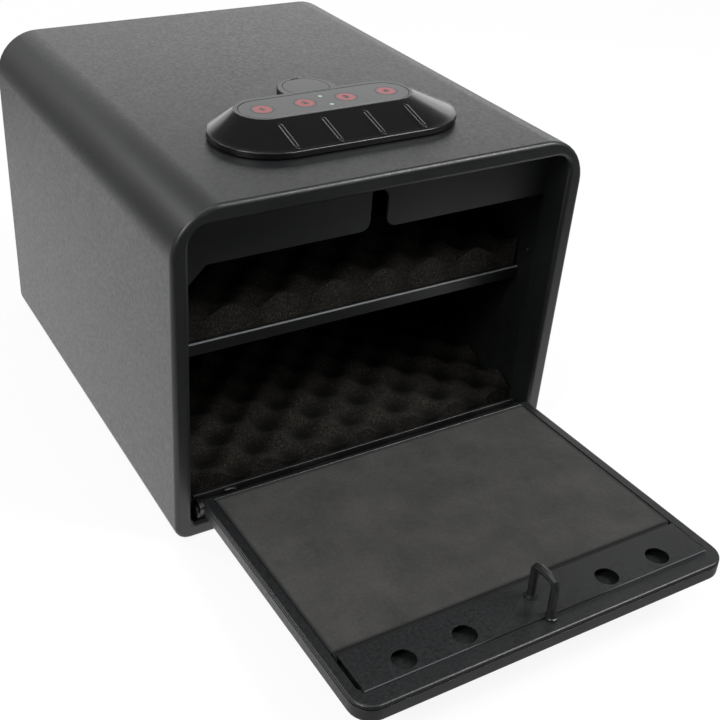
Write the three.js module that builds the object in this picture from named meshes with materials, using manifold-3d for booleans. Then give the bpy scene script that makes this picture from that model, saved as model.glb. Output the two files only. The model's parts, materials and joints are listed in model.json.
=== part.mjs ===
// Quick access safe: a wrapped steel box with a drop-down front door, a four-key pad on the roof, a
// spare key lock under a flip-up cap, and a lock compartment hung under the roof.
// Millimetres, +Z up, front towards -Y, origin at the centre of the body's footprint.
import * as THREE from 'three';
import { mergeVertices } from 'three/addons/utils/BufferGeometryUtils.js';
import Module from 'manifold-3d';

const wasm = await Module();
wasm.setup();

// Body
const bodyWidth = 260;
const bodyHeight = 208;
const bodyDepth = 300;
const sheet = 2;
const roofRadius = 28.5;
const footRadius = 8.5;
const rimWidth = 10;
const rimDepth = 19.2;
const rimRound = 2.6;
const rimInnerRadius = 11;
const fitGap = 0.3;
const slip = 0.4;
const backFlange = 12;
const anchorHole = 9;
const anchorInset = 45;
const wallHoleHeights = [60, 148];

// Hinge, sill and opening spring
const pivotInset = 3.35;
const pivotRise = 5.95;
const hingeRodDiameter = 5;
const rodHeadDiameter = 8;
const rodHeadLength = 1.2;
const sillThickness = 2;
const earThickness = 3;
const earRadius = 6.4;
const knuckleClear = 0.85;
const upstandRise = 6.25;
const springWire = 1.6;
const springTurns = 4;
const springGap = 3;
const springPitch = 2.1;

// Door, measured from its pivot: outwards through its thickness and up its height
const doorSideGap = 4.7;
const doorHeadGap = 1.75;
const doorRootRise = 7.05;
const doorThickness = 10;
const doorSheet = 2;
const traySheet = 1.2;
const doorOpenDeg = 87.67;
const doorCorner = 12;
const doorRootCorner = 3;
const knuckleLength = 36;
const knucklePitch = 68;
const knuckleWrapDeg = 250;
const lipRound = 1.4;
const lipWall = 0.6;
const edgeGroove = 0.5;
const borderSide = 6;
const borderRoot = 2.85;
const borderFront = 13;
const recessDepth = 4;
const stripSetback = 9.9;
const stripWidth = 25.2;
const stripSheet = 0.9;
const stripEndGap = 1.7;
const linerGap = 3;
const stripHoleDiameter = 12.8;
const stripHoleInner = 45.3;
const stripHolePitch = 35.2;
const stripHoleSetback = 8.7;
const loopWire = 4.5;
const loopReach = 35.3;
const loopSpan = 15.6;
const loopSetback = 9.4;
const loopX = 0.4;
const loopBend = 3.4;
const beadRadius = 3.3;

// Lock compartment and latch
const coverDrop = 41;
const coverRearGap = 9;
const coverSheet = 2;
const slotWidth = 11;
const slotHeadGap = 4.25;
const slotShoulder = 9.1;
const slotX = 2.9;
const slotFlare = 6;
const slotNotch = 25.5;
const gussetSize = 17.5;
const latchPivotX = -6;
const latchPivotInset = 64;
const latchPlate = 3;
const latchPinDiameter = 5;
const latchOpenDeg = 20;
const noseGap = 0.9;
const noseThickness = 5.4;
const noseOverlap = 4.5;
const armWidth = 8.8;
const armGap = 1.45;
const tailReach = 16;
const tailHalf = 4;
const tailOverrun = 7;
const plungerDiameter = 8;
const linkPinDiameter = 3;
const solenoidGap = 17.2;
const solenoidLength = 30;
const solenoidWidth = 18;

// Spare key lock
const barrelDiameter = 15;
const nutCorner = 4;
const plugDiameter = 9;
const stemDiameter = 5.2;
const camThickness = 2.2;
const camTip = 2.6;
const camGap = 0.826;
const camContact = 5.46;

// Keypad
const padBaseInset = 68.7;
const padBaseRadius = 33.9;
const padBaseHalf = 43;
const padTopShift = 12.3;
const padTopRadius = 16.35;
const padTopHalf = 40.3;
const padHeight = 11.7;
const padSkirt = 4.4;
const padWall = 2.2;
const padCeilingDrop = 3.8;
const gasketThickness = 0.4;
const keyholeShift = 36.3;
const bossRadius = 18.4;
const bossShift = -4;
const capRadius = 13.8;
const capShift = -1.5;
const capFrontReach = 7.8;
const capRearReach = 12.9;
const capThickness = 1.6;
const capPivotReach = 1.9;
const capPivotDrop = 1;
const capKnuckleHalf = 2;
const capPinDiameter = 0.9;
const faceInset = 2.1;
const faceThickness = 1.1;
const keyPitch = 27.05;
const keyRowShift = -1;
const keyDiameter = 13;
const keyProud = 0.15;
const keyTravel = 0.5;
const keyFlange = 1.1;
const lampShifts = [-7.1, 6.4];
const lampDiameter = 3;
const ribWidth = 2.6;
const ribHeight = 0.8;
const ribTopShift = -22;
const ribFootShift = -31.3;
const boardThickness = 1.2;
const matSheet = 0.6;
const domeHeight = 1.2;
const padScrewX = 61;
const padScrewDiameter = 3;

// Control board, cable and batteries
const controlBoardX = -45;
const controlBoardInset = 80;
const controlBoardWidth = 60;
const controlBoardLength = 40;
const standoffHeight = 7.4;
const standoffRadius = 2.6;
const chipHeight = 1.6;
const socketHeight = 5;
const capacitorHeight = 9;
const capacitorRadius = 4;
const cableDiameter = 3.6;
const cellDiameter = 14.5;
const cellLength = 50.5;
const cellPitch = 15.2;
const cellCount = 4;
const trayGap = 7.08;
const trayInset = 61;

// Shelf and foam linings
const shelfTop = 104.5;
const shelfFront = 39.6;
const shelfSheet = 1.5;
const shelfLip = 8;
const bracketWidth = 9.7;
const bracketDrop = 11.5;
const bracketSheet = 1.5;
const bracketFront = 60;
const bracketRearGap = 20;
const shelfScrewDiameter = 3;
const rivetInset = 33.8;
const rivetHeight = 118.3;
const foamPitchX = 34.3;
const foamPitchY = 34.6;
const foamPhaseX = 6.65;
const foamPhaseInset = 22.5;
const foamPeak = 21.7;
const foamValley = 7;

const frontY = -bodyDepth / 2;
const backY = bodyDepth / 2;
const halfWidth = bodyWidth / 2;
const innerX = halfWidth - sheet;
const roofUnder = bodyHeight - sheet;
const rad = THREE.MathUtils.degToRad;
const deg = THREE.MathUtils.radToDeg;
const pivotHeight = rimWidth + pivotRise;
const doorHalfWidth = halfWidth - rimWidth - doorSideGap;
const doorEnd = bodyHeight - rimWidth - doorHeadGap - pivotHeight;
const padTopInset = padBaseInset + padTopShift;
const keyRowInset = padTopInset + keyRowShift;
const keyholeInset = padBaseInset + keyholeShift;
const capInset = keyholeInset + capShift;
const capFront = capInset - capFrontReach;
const capRear = capInset + capRearReach;
const bossInset = keyholeInset + bossShift;
const lampInsets = lampShifts.map((shift) => keyRowInset + shift);
const padCeiling = padHeight - padCeilingDrop;

const safe = new THREE.Group();

function finish(color, roughness, metalness = 0) {
  return new THREE.MeshStandardMaterial({ color, roughness, metalness });
}
const powderCoat = () => finish(0x232526, 0.6, 0.1);
const zincSteel = () => finish(0xa9abac, 0.35, 0.9);
const blackPlastic = () => finish(0x161717, 0.5);
const foamBlack = () => finish(0x1b1a18, 0.95);
const rubber = () => finish(0x1a1a1a, 0.9);
const circuitGreen = () => finish(0x1f4a2c, 0.5);

function add(name, geometry, material, parent = safe) {
  const mesh = new THREE.Mesh(geometry, material);
  mesh.name = name;
  parent.add(mesh);
}

// Solids and cuts
function toSolid(geometry) {
  const bare = geometry.clone();
  bare.deleteAttribute('normal');
  bare.deleteAttribute('uv');
  const merged = mergeVertices(bare, 1e-4);
  return new wasm.Manifold(new wasm.Mesh({
    numProp: 3,
    vertProperties: new Float32Array(merged.attributes.position.array),
    triVerts: new Uint32Array(merged.index.array),
  }));
}

function toGeometry(solid) {
  const body = solid.getMesh();
  const points = [];
  for (let i = 0; i < body.numVert; i++) {
    const at = i * body.numProp;
    points.push(...body.vertProperties.slice(at, at + 3));
  }
  const geometry = new THREE.BufferGeometry();
  geometry.setAttribute('position', new THREE.Float32BufferAttribute(points, 3));
  geometry.setIndex([...body.triVerts]);
  geometry.computeVertexNormals();
  return geometry;
}

function cut(geometry, ...tools) {
  return toGeometry(tools.reduce((solid, tool) => solid.subtract(toSolid(tool)), toSolid(geometry)));
}

function fuse(first, ...others) {
  return toGeometry(others.reduce((solid, other) => solid.add(toSolid(other)), toSolid(first)));
}

function common(first, second) {
  return toGeometry(toSolid(first).intersect(toSolid(second)));
}

// Simple forms
function box(x0, x1, y0, y1, z0, z1) {
  const form = new THREE.BoxGeometry(x1 - x0, y1 - y0, z1 - z0);
  return form.translate((x0 + x1) / 2, (y0 + y1) / 2, (z0 + z1) / 2);
}

function discZ(x, y, z0, z1, radius, sides = 20, topRadius = radius) {
  const form = new THREE.CylinderGeometry(topRadius, radius, z1 - z0, sides);
  return form.rotateX(Math.PI / 2).translate(x, y, (z0 + z1) / 2);
}

function discX(x0, x1, y, z, radius, sides = 18) {
  const form = new THREE.CylinderGeometry(radius, radius, x1 - x0, sides);
  return form.rotateZ(-Math.PI / 2).translate((x0 + x1) / 2, y, z);
}

function discY(x, z, y0, y1, radius, sides = 18) {
  return new THREE.CylinderGeometry(radius, radius, y1 - y0, sides).translate(x, (y0 + y1) / 2, z);
}

function polygon(points) {
  return new THREE.Shape(points.map(([u, v]) => new THREE.Vector2(u, v)));
}

// Outlines drawn in (x, y), (y, z) and (x, z), drawn out along the third direction
function plateZ(shape, z0, z1, curveSegments = 8) {
  const form = new THREE.ExtrudeGeometry(shape, { depth: z1 - z0, bevelEnabled: false, curveSegments });
  return form.translate(0, 0, z0);
}

function plateX(shape, x0, x1, curveSegments = 6) {
  const form = new THREE.ExtrudeGeometry(shape, { depth: x1 - x0, bevelEnabled: false, curveSegments });
  return form.applyMatrix4(new THREE.Matrix4().set(0, 0, 1, x0, 1, 0, 0, 0, 0, 1, 0, 0, 0, 0, 0, 1));
}

function plateY(shape, y0, y1, curveSegments = 6) {
  const form = new THREE.ExtrudeGeometry(shape, { depth: y1 - y0, bevelEnabled: false, curveSegments });
  return form.rotateX(Math.PI / 2).translate(0, y1, 0);
}

function arc(u, v, radius, startDeg, endDeg, steps) {
  return Array.from({ length: steps + 1 }, (_, i) => {
    const angle = rad(startDeg + (endDeg - startDeg) * i / steps);
    return [u + radius * Math.cos(angle), v + radius * Math.sin(angle)];
  });
}

function roundRect(u0, u1, v0, v1, lowRadius, highRadius, lowSteps, highSteps) {
  return [
    ...arc(u1 - lowRadius, v0 + lowRadius, lowRadius, -90, 0, lowSteps),
    ...arc(u1 - highRadius, v1 - highRadius, highRadius, 0, 90, highSteps),
    ...arc(u0 + highRadius, v1 - highRadius, highRadius, 90, 180, highSteps),
    ...arc(u0 + lowRadius, v0 + lowRadius, lowRadius, 180, 270, lowSteps),
  ];
}

function stadium(centreY, half, radius, steps = 10) {
  return [
    ...arc(half, centreY, radius, -90, 90, steps),
    ...arc(-half, centreY, radius, 90, 270, steps),
  ];
}

// A skin from corners and consistently wound faces, turned to face outwards
function closedSkin(corners, faces) {
  const volume = faces.reduce((sum, [a, b, c]) => {
    const cross = new THREE.Vector3().crossVectors(corners[b], corners[c]);
    return sum + corners[a].dot(cross);
  }, 0);
  const geometry = new THREE.BufferGeometry().setFromPoints(corners);
  geometry.setIndex(faces.flatMap(([a, b, c]) => (volume > 0 ? [a, b, c] : [a, c, b])));
  geometry.computeVertexNormals();
  return geometry;
}

// Triangles filling an outline, wound the way the outline runs
function fillOutline(points, offset, reversed) {
  const flat = points.map(([u, v]) => new THREE.Vector2(u, v));
  const along = Math.sign(THREE.ShapeUtils.area(flat));
  return THREE.ShapeUtils.triangulateShape(flat, []).map(([a, b, c]) => {
    const same = Math.sign(THREE.ShapeUtils.area([flat[a], flat[b], flat[c]])) === along;
    const order = same === reversed ? [a, c, b] : [a, b, c];
    return order.map((corner) => corner + offset);
  });
}

// Rings of equal count joined in turn, either capped at both ends or joined into a loop
function loft(rings, place, looped = false) {
  const count = rings[0][0].length;
  const corners = rings.flatMap(([points, level]) => points.map((point) => place(point, level)));
  const faces = [];
  const spans = looped ? rings.length : rings.length - 1;
  for (let r = 0; r < spans; r++) {
    const here = r * count;
    const next = ((r + 1) % rings.length) * count;
    for (let i = 0; i < count; i++) {
      const j = (i + 1) % count;
      faces.push([here + i, here + j, next + j], [here + i, next + j, next + i]);
    }
  }
  if (!looped) {
    faces.push(...fillOutline(rings[0][0], 0, true));
    faces.push(...fillOutline(rings[rings.length - 1][0], (rings.length - 1) * count, false));
  }
  return closedSkin(corners, faces);
}

const stackY = ([x, z], y) => new THREE.Vector3(x, y, z);
const stackZ = ([x, y], z) => new THREE.Vector3(x, y, z);

// Round wire along a smooth line of points
function wire(points, diameter, steps, sides = 8) {
  const section = polygon(arc(0, 0, diameter / 2, 0, 360, sides).slice(0, sides));
  const path = new THREE.CatmullRomCurve3(points, false, 'centripetal');
  return new THREE.ExtrudeGeometry(section, { steps, extrudePath: path, bevelEnabled: false });
}

const sides = [-1, 1];
const corners = sides.flatMap((x) => sides.map((y) => [x, y]));

// Body shell: one wrapped sheet whose front edge rolls inwards and returns behind the rim
function bodyRing(inset, topRadius = Math.max(roofRadius - inset, 4)) {
  return roundRect(
    -halfWidth + inset, halfWidth - inset, inset, bodyHeight - inset,
    Math.max(footRadius - inset, 4), topRadius, 4, 10,
  );
}

function bodyShell() {
  const wrap = ([inset, y]) => [bodyRing(inset), frontY + y];
  const rim = ([inset, y]) => [bodyRing(inset, rimInnerRadius + rimWidth - inset), frontY + y];
  const shell = loft([
    wrap([0, bodyDepth]),
    ...arc(rimRound, rimRound, rimRound, 180, 270, 4).map(wrap),
    ...arc(rimWidth - rimRound, rimRound, rimRound, -90, 0, 4).map(rim),
    rim([rimWidth, rimDepth]),
    rim([rimWidth - sheet, rimDepth]),
    rim([rimWidth - sheet, sheet]),
    wrap([sheet, sheet]),
    wrap([sheet, bodyDepth]),
  ], stackY, true);
  const anchors = corners.map(([x, y]) => discZ(x * (halfWidth - anchorInset), y * (backY - anchorInset),
    -1, sheet + 1, anchorHole / 2));
  const roofHole = (x, inset, diameter) => discZ(x, frontY + inset, roofUnder - 1, bodyHeight + 1,
    diameter / 2 + slip);
  return cut(
    shell, ...anchors,
    roofHole(0, keyholeInset, barrelDiameter),
    roofHole(controlBoardX, controlBoardInset, cableDiameter + 3),
    ...sides.map((side) => roofHole(side * padScrewX, padBaseInset, padScrewDiameter)),
  );
}
add('body_shell', bodyShell(), powderCoat());

// Back panel: a pan pressed into the rear of the shell, with four wall anchor holes
function backPanel() {
  const inset = sheet + fitGap;
  const profile = [
    [inset, bodyDepth],
    [inset, bodyDepth - backFlange],
    [inset + sheet, bodyDepth - backFlange],
    [inset + sheet, bodyDepth - sheet],
  ];
  const pan = loft(profile.map(([d, y]) => [bodyRing(d), frontY + y]), stackY);
  const holes = sides.flatMap((side) => wallHoleHeights.map((z) => discY(side * (halfWidth - anchorInset), z,
    backY - sheet - 1, backY + 1, anchorHole / 2)));
  return cut(pan, ...holes);
}
add('back_panel', backPanel(), powderCoat());

// Hinge sill: an angle on the lower rim behind the door's root, with an ear at each end for the rod
const sillFloor = rimWidth + fitGap;
const pivotY = frontY + pivotInset;
const rodRadius = hingeRodDiameter / 2;
const upstandY = pivotY + rodRadius + fitGap + doorSheet + knuckleClear;
const upstandTop = pivotHeight + upstandRise;

function hingeSill() {
  const rear = frontY + rimDepth - fitGap;
  const base = box(-doorHalfWidth, doorHalfWidth, upstandY, rear, sillFloor, sillFloor + sillThickness);
  const wall = box(-doorHalfWidth, doorHalfWidth, upstandY, upstandY + sillThickness, sillFloor, upstandTop);
  const ear = polygon([
    [upstandY + sillThickness / 2, sillFloor],
    [upstandY + sillThickness / 2, pivotHeight],
    ...arc(pivotY, pivotHeight, earRadius, 0, 140, 10),
    [frontY + rimRound, sillFloor],
  ]);
  const ears = sides.map((side) => {
    const mid = side * (doorHalfWidth - earThickness / 2);
    return plateX(ear, mid - earThickness / 2, mid + earThickness / 2);
  });
  const bore = discX(-halfWidth, halfWidth, pivotY, pivotHeight, rodRadius + fitGap);
  return cut(fuse(base, wall, ...ears), bore);
}
add('hinge_sill', hingeSill(), powderCoat());

function hingeRod() {
  const end = doorHalfWidth + fitGap;
  const heads = sides.map((side) => {
    const mid = side * (end + rodHeadLength / 2);
    return discX(mid - rodHeadLength / 2, mid + rodHeadLength / 2, pivotY, pivotHeight, rodHeadDiameter / 2);
  });
  return fuse(discX(-end, end, pivotY, pivotHeight, rodRadius), ...heads);
}
add('hinge_rod', hingeRod(), zincSteel());

// Opening spring: a coil on the hinge rod with one leg lying along the top of the sill
function openingSpring() {
  const coil = rodRadius + slip + springWire / 2;
  const legZ = pivotHeight + coil + springWire + 0.4;
  const start = -(knucklePitch + knuckleLength / 2 + springGap);
  const end = start - springPitch * springTurns;
  const points = [
    new THREE.Vector3(end + 1, pivotY + coil, legZ),
    new THREE.Vector3(start - 3, pivotY + coil, legZ),
    new THREE.Vector3(start - 0.6, pivotY + coil, legZ - 0.7),
    new THREE.Vector3(start, pivotY + coil, legZ - 3),
  ];
  for (let i = 0; i <= springTurns * 8; i++) {
    const turn = -2 * Math.PI * i / 8;
    const y = pivotY + coil * Math.cos(turn);
    points.push(new THREE.Vector3(start - springPitch * i / 8, y, pivotHeight + coil * Math.sin(turn)));
  }
  return wire(points, springWire, 46, 6);
}
add('opening_spring', openingSpring(), zincSteel());

// Door: built shut about its pivot and swung down to its open stop
const door = new THREE.Group();
door.position.set(0, pivotY, pivotHeight);
door.rotation.x = rad(doorOpenDeg);
safe.add(door);

const doorFace = rodRadius + fitGap;
const doorBack = doorFace + doorThickness;
const lipEdge = doorBack - lipRound - lipWall;
const skinEdge = lipEdge - edgeGroove;
const recessFloor = doorBack - recessDepth;

function doorRing(inset) {
  return roundRect(
    -doorHalfWidth + inset, doorHalfWidth - inset, doorRootRise + inset, doorEnd - inset,
    Math.max(doorRootCorner - inset, 0.8), Math.max(doorCorner - inset, 0.8), 3, 7,
  );
}

function doorSkin() {
  const profile = [
    ...arc(1.2, doorFace + 1.2, 1.2, -90, -180, 3),
    [0, skinEdge],
    [doorSheet, skinEdge],
    [doorSheet, doorFace + doorSheet],
  ];
  const pan = loft(profile.map(([inset, y]) => [doorRing(inset), y]), stackY);
  const outside = doorFace + doorSheet;
  const overlap = doorRootRise + doorSheet;
  const roll = polygon([
    [doorFace, overlap],
    ...arc(0, 0, doorFace, 0, -knuckleWrapDeg, 14),
    ...arc(0, 0, outside, -knuckleWrapDeg, 0, 14),
    [outside, overlap],
  ]);
  const knuckles = [-knucklePitch, 0, knucklePitch].map((x) => plateX(roll, x - knuckleLength / 2,
    x + knuckleLength / 2));
  return fuse(pan, ...knuckles);
}
add('door_skin', doorSkin(), powderCoat(), door);

// Inner tray: nested in the skin, with a rounded border over its edge and a sunk field for the liner
function doorTray() {
  const tuck = doorSheet + slip;
  const profile = [
    [tuck, recessFloor - traySheet],
    [tuck, lipEdge],
    [0, lipEdge],
    ...arc(lipRound, doorBack - lipRound, lipRound, 180, 90, 4),
  ];
  const rings = profile.map(([inset, y]) => [doorRing(inset), y]);
  const field = roundRect(
    -doorHalfWidth + borderSide, doorHalfWidth - borderSide, doorRootRise + borderRoot, doorEnd - borderFront,
    1.5, 1.5, 3, 7,
  );
  return loft([...rings, [field, doorBack], [field, recessFloor]], stackY);
}
add('door_tray', doorTray(), powderCoat(), door);

const stripTop = doorBack + fitGap + stripSheet;
const stripTo = doorEnd - stripSetback;
const stripFrom = stripTo - stripWidth;

function doorLiner() {
  const outline = (shrink) => roundRect(
    -doorHalfWidth + borderSide + shrink, doorHalfWidth - borderSide - shrink,
    doorRootRise + borderRoot + shrink, stripFrom - linerGap + fitGap - shrink, 1.5, 1.5, 3, 3,
  );
  return loft([[outline(fitGap), recessFloor + fitGap], [outline(fitGap), doorBack - 0.6],
    [outline(fitGap + 0.5), doorBack - 0.1]], stackY);
}
add('door_liner', doorLiner(), finish(0x3d3d3b, 0.95), door);

// Stiffener strip: its front edge laps the border, and its rear edge is folded down into the sunk field
function stiffenerStrip() {
  const foot = recessFloor + fitGap;
  const angle = polygon([
    [foot, stripFrom],
    [stripTop, stripFrom],
    [stripTop, stripTo],
    [stripTop - stripSheet, stripTo],
    [stripTop - stripSheet, stripFrom + stripSheet],
    [foot, stripFrom + stripSheet],
  ]);
  const half = doorHalfWidth - borderSide - stripEndGap;
  const holes = sides.flatMap((side) => [stripHoleInner, stripHoleInner + stripHolePitch].map((x) => discY(side * x,
    stripTo - stripHoleSetback, stripTop - stripSheet - 0.5, stripTop + 1, stripHoleDiameter / 2, 24)));
  return cut(plateX(angle, -half, half), ...holes);
}
add('stiffener_strip', stiffenerStrip(), powderCoat(), door);

// Striker loop: a bent wire with one foot on the strip and one at the strip's edge, each welded on
const loopHigh = doorEnd - loopSetback;
const loopLow = loopHigh - loopSpan;
const loopFoot = stripTop + fitGap;

function strikerLoop() {
  const bend = (z, from, to) => arc(loopReach - loopBend, z, loopBend, from, to, 4);
  const line = [
    [loopFoot, loopLow],
    [loopFoot + 6, loopLow],
    [loopReach - loopBend - 3, loopLow],
    ...bend(loopLow + loopBend, -90, 0),
    ...bend(loopHigh - loopBend, 0, 90),
    [loopReach - loopBend - 3, loopHigh],
    [loopFoot + 6, loopHigh],
    [loopFoot, loopHigh],
  ];
  const bead = (foot, z) => new THREE.CylinderGeometry(loopWire * 0.55, beadRadius, loopFoot + 1.6 - foot, 12)
    .translate(loopX, (foot + loopFoot + 1.6) / 2, z);
  const edge = cut(bead(doorBack + fitGap, loopHigh), box(-halfWidth, halfWidth, 0, loopFoot, 0, stripTo + fitGap));
  return fuse(wire(line.map(([y, z]) => new THREE.Vector3(loopX, y, z)), loopWire, 24, 8), bead(loopFoot, loopLow),
    edge);
}
add('striker_loop', strikerLoop(), powderCoat(), door);

// Lock cover: one channel of sheet hung across the box under the roof. Its front is slotted from
// below, with a narrow neck at the top for the striker loop, and its ends follow the roof corners
const linkX = latchPivotX + tailReach * Math.tan(rad(latchOpenDeg / 2));
const solenoidX = linkX + solenoidGap;
const solenoidEnd = solenoidX + solenoidLength;
const trayHalfX = cellPitch * cellCount / 2 + 1;
const trayX = solenoidEnd + trayGap + trayHalfX;
const coverFrontY = frontY + rimDepth + fitGap;
const coverBackY = frontY + keyholeInset + barrelDiameter / 2 + nutCorner + coverRearGap + coverSheet;
const coverBottom = roofUnder - coverDrop;
const coverFloor = coverBottom + coverSheet;
const hatchX0 = trayX - cellPitch * cellCount / 2 + 4;
const hatchX1 = trayX + cellPitch * cellCount / 2 - 4;
const hatchY = [frontY + trayInset - cellLength / 2 + 4, frontY + trayInset + cellLength / 2 - 4];

function lockCover() {
  const top = roofUnder - fitGap;
  const channel = polygon([
    [coverFrontY, top],
    [coverFrontY, coverBottom],
    [coverBackY, coverBottom],
    [coverBackY, top],
    [coverBackY - coverSheet, top],
    [coverBackY - coverSheet, coverFloor],
    [coverFrontY + coverSheet, coverFloor],
    [coverFrontY + coverSheet, top],
  ]);
  const gusset = polygon([
    [-innerX, coverBottom + 1],
    [-innerX, coverBottom - gussetSize],
    [-halfWidth + rimWidth + 0.5, coverBottom - gussetSize],
    [-halfWidth + rimWidth + gussetSize + 0.5, coverBottom],
    [-halfWidth + rimWidth + gussetSize + 0.5, coverBottom + 1],
  ]);
  const half = slotWidth / 2;
  const slotTop = pivotHeight + doorEnd - slotHeadGap;
  const neck = loopX - slotX + half;
  const slot = polygon([
    [slotX - half - slotFlare, coverBottom - 1],
    [slotX + half + slotFlare, coverBottom - 1],
    ...arc(slotX + half + slotFlare, coverBottom + slotFlare, slotFlare, -90, -180, 5),
    ...arc(slotX, slotTop - slotShoulder, half, 0, deg(Math.acos((loopX + neck - slotX) / half)), 6),
    ...arc(loopX, slotTop - neck, neck, 0, 180, 10),
    ...arc(slotX - half - slotFlare, coverBottom + slotFlare, slotFlare, 0, -90, 5),
  ]);
  const sheetwork = fuse(plateX(channel, -innerX, innerX), plateY(gusset, coverFrontY, coverFrontY + coverSheet));
  const hatch = box(hatchX0, hatchX1, ...hatchY, coverBottom - 1, coverFloor + 1);
  const room = loft([-1, bodyDepth + 1].map((y) => [bodyRing(sheet + fitGap), frontY + y]), stackY);
  return common(cut(sheetwork, plateY(slot, coverFrontY - 1, frontY + rimDepth + slotNotch), hatch), room);
}
add('lock_cover', lockCover(), powderCoat());

// Latch hook: swings about an upright pin and draws its nose in front of the striker bar
const latchZ = pivotHeight + (loopLow + loopHigh) / 2;
const latchLow = latchZ - latchPlate / 2;
const latchHigh = latchZ + latchPlate / 2;
const latchPivotY = frontY + latchPivotInset;
const latch = new THREE.Group();
latch.position.set(latchPivotX, latchPivotY, 0);
latch.rotation.z = rad(-latchOpenDeg);
safe.add(latch);

function latchHook() {
  const barFront = pivotY + loopReach - loopWire / 2 - latchPivotY;
  const noseBack = barFront - noseGap;
  const noseFront = noseBack - noseThickness;
  const armRight = loopX - loopWire / 2 - armGap - latchPivotX;
  const armLeft = armRight - armWidth;
  const noseEnd = loopX - latchPivotX + noseOverlap;
  const hub = latchPinDiameter / 2 + 4.6;
  const lean = rad(latchOpenDeg / 2);
  const tail = ([across, along]) => [
    across * Math.cos(lean) - along * Math.sin(lean),
    along * Math.cos(lean) + across * Math.sin(lean),
  ];
  const tailEnd = tailReach + tailOverrun;
  const outline = polygon([
    [armLeft, noseFront + 2],
    [armLeft + 2, noseFront],
    [noseEnd - 4, noseFront],
    [noseEnd, noseBack - 1.4],
    [noseEnd - 1, noseBack],
    [armRight, noseBack],
    [armRight, -9],
    ...arc(0, 0, hub, -50, 50, 6),
    ...[[tailHalf, 9], [tailHalf, tailEnd - 1.5], [tailHalf - 1.5, tailEnd], [-tailHalf + 1.5, tailEnd],
      [-tailHalf, tailEnd - 1.5], [-tailHalf, 9]].map(tail),
    ...arc(0, 0, hub, 150, 205, 4),
    [armLeft, -9],
  ]);
  const slot = linkPinDiameter / 2 + slip;
  const linkSlot = [[-slot, tailReach - 3], [slot, tailReach - 3], [slot, tailReach + 3], [-slot, tailReach + 3]];
  const tools = [
    discZ(0, 0, latchLow - 1, latchHigh + 1, latchPinDiameter / 2 + slip),
    plateZ(polygon(linkSlot.map(tail)), latchLow - 1, latchHigh + 1),
  ];
  return cut(plateZ(outline, latchLow, latchHigh), ...tools);
}
add('latch_hook', latchHook(), zincSteel(), latch);

function latchPin() {
  const foot = coverFloor + fitGap;
  return fuse(
    discZ(latchPivotX, latchPivotY, foot, latchHigh + 3, latchPinDiameter / 2),
    discZ(latchPivotX, latchPivotY, foot, latchLow - fitGap, latchPinDiameter / 2 + 3),
    discZ(latchPivotX, latchPivotY, latchHigh + fitGap, latchHigh + fitGap + 1, latchPinDiameter / 2 + 2),
  );
}
add('latch_pin', latchPin(), zincSteel());

// Solenoid: a folded frame round a coil, its plunger forked over the hook's tail
const plungerY = latchPivotY + tailReach;
const solenoidHalf = solenoidWidth / 2;
const solenoidLow = coverFloor + fitGap;
const solenoidHigh = 2 * latchZ - solenoidLow;
const plungerRadius = plungerDiameter / 2;

function solenoidFrame() {
  const y = [plungerY - solenoidHalf, plungerY + solenoidHalf];
  const block = box(solenoidX, solenoidEnd, ...y, solenoidLow, solenoidHigh);
  const window = box(solenoidX + sheet, solenoidEnd - sheet, y[0] - 1, y[1] + 1, solenoidLow + sheet,
    solenoidHigh - sheet);
  return cut(block, window, discX(solenoidX - 1, solenoidX + sheet + 1, plungerY, latchZ, plungerRadius + slip));
}
add('solenoid_frame', solenoidFrame(), zincSteel());

function solenoidCoil() {
  const from = solenoidX + sheet + fitGap;
  const to = solenoidEnd - sheet - fitGap;
  const bobbin = fuse(
    discX(from, from + 1.4, plungerY, latchZ, solenoidHalf),
    discX(to - 1.4, to, plungerY, latchZ, solenoidHalf),
    discX(from, to, plungerY, latchZ, solenoidHalf - 1.6),
  );
  return cut(bobbin, discX(from - 1, to - 4, plungerY, latchZ, plungerRadius + slip));
}
add('solenoid_coil', solenoidCoil(), finish(0x8a5a34, 0.45, 0.4));

function plunger() {
  const from = linkX - 4;
  const rod = discX(from, solenoidEnd - sheet - 8, plungerY, latchZ, plungerRadius);
  const fork = box(from - 1, linkX + 7.5, plungerY - 6, plungerY + 6, latchLow - slip, latchHigh + slip);
  const pin = discZ(linkX, plungerY, latchZ - plungerRadius + 0.6, latchZ + plungerRadius - 0.6,
    linkPinDiameter / 2, 14);
  return fuse(cut(rod, fork), pin);
}
add('plunger', plunger(), zincSteel());

function plungerSpring() {
  const from = linkX + 9;
  const span = solenoidX - fitGap - 0.8 - from;
  const turns = 4;
  const ring = plungerRadius + slip + 0.7;
  const points = Array.from({ length: turns * 8 + 1 }, (_, i) => {
    const turn = 2 * Math.PI * i / 8;
    const x = from + span * i / (turns * 8);
    return new THREE.Vector3(x, plungerY + ring * Math.cos(turn), latchZ + ring * Math.sin(turn));
  });
  return wire(points, 0.9, turns * 8, 5);
}
add('plunger_spring', plungerSpring(), zincSteel());

// Spare key lock: a barrel through the roof held by a nut, and a plug that turns a cam
const roofTop = bodyHeight;
const padTop = roofTop + padHeight;
const padFoot = roofTop + gasketThickness + 2 * fitGap;
const keyholeY = frontY + keyholeInset;
const seatFloor = padTop - capThickness - fitGap;
const barrelTop = seatFloor - 0.4;
const barrelFoot = latchZ + 5;
const camLow = latchZ - camThickness / 2;
const camHigh = latchZ + camThickness / 2;
const stemRadius = stemDiameter / 2;
const wellRadius = barrelDiameter / 2 + 2.8;

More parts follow.
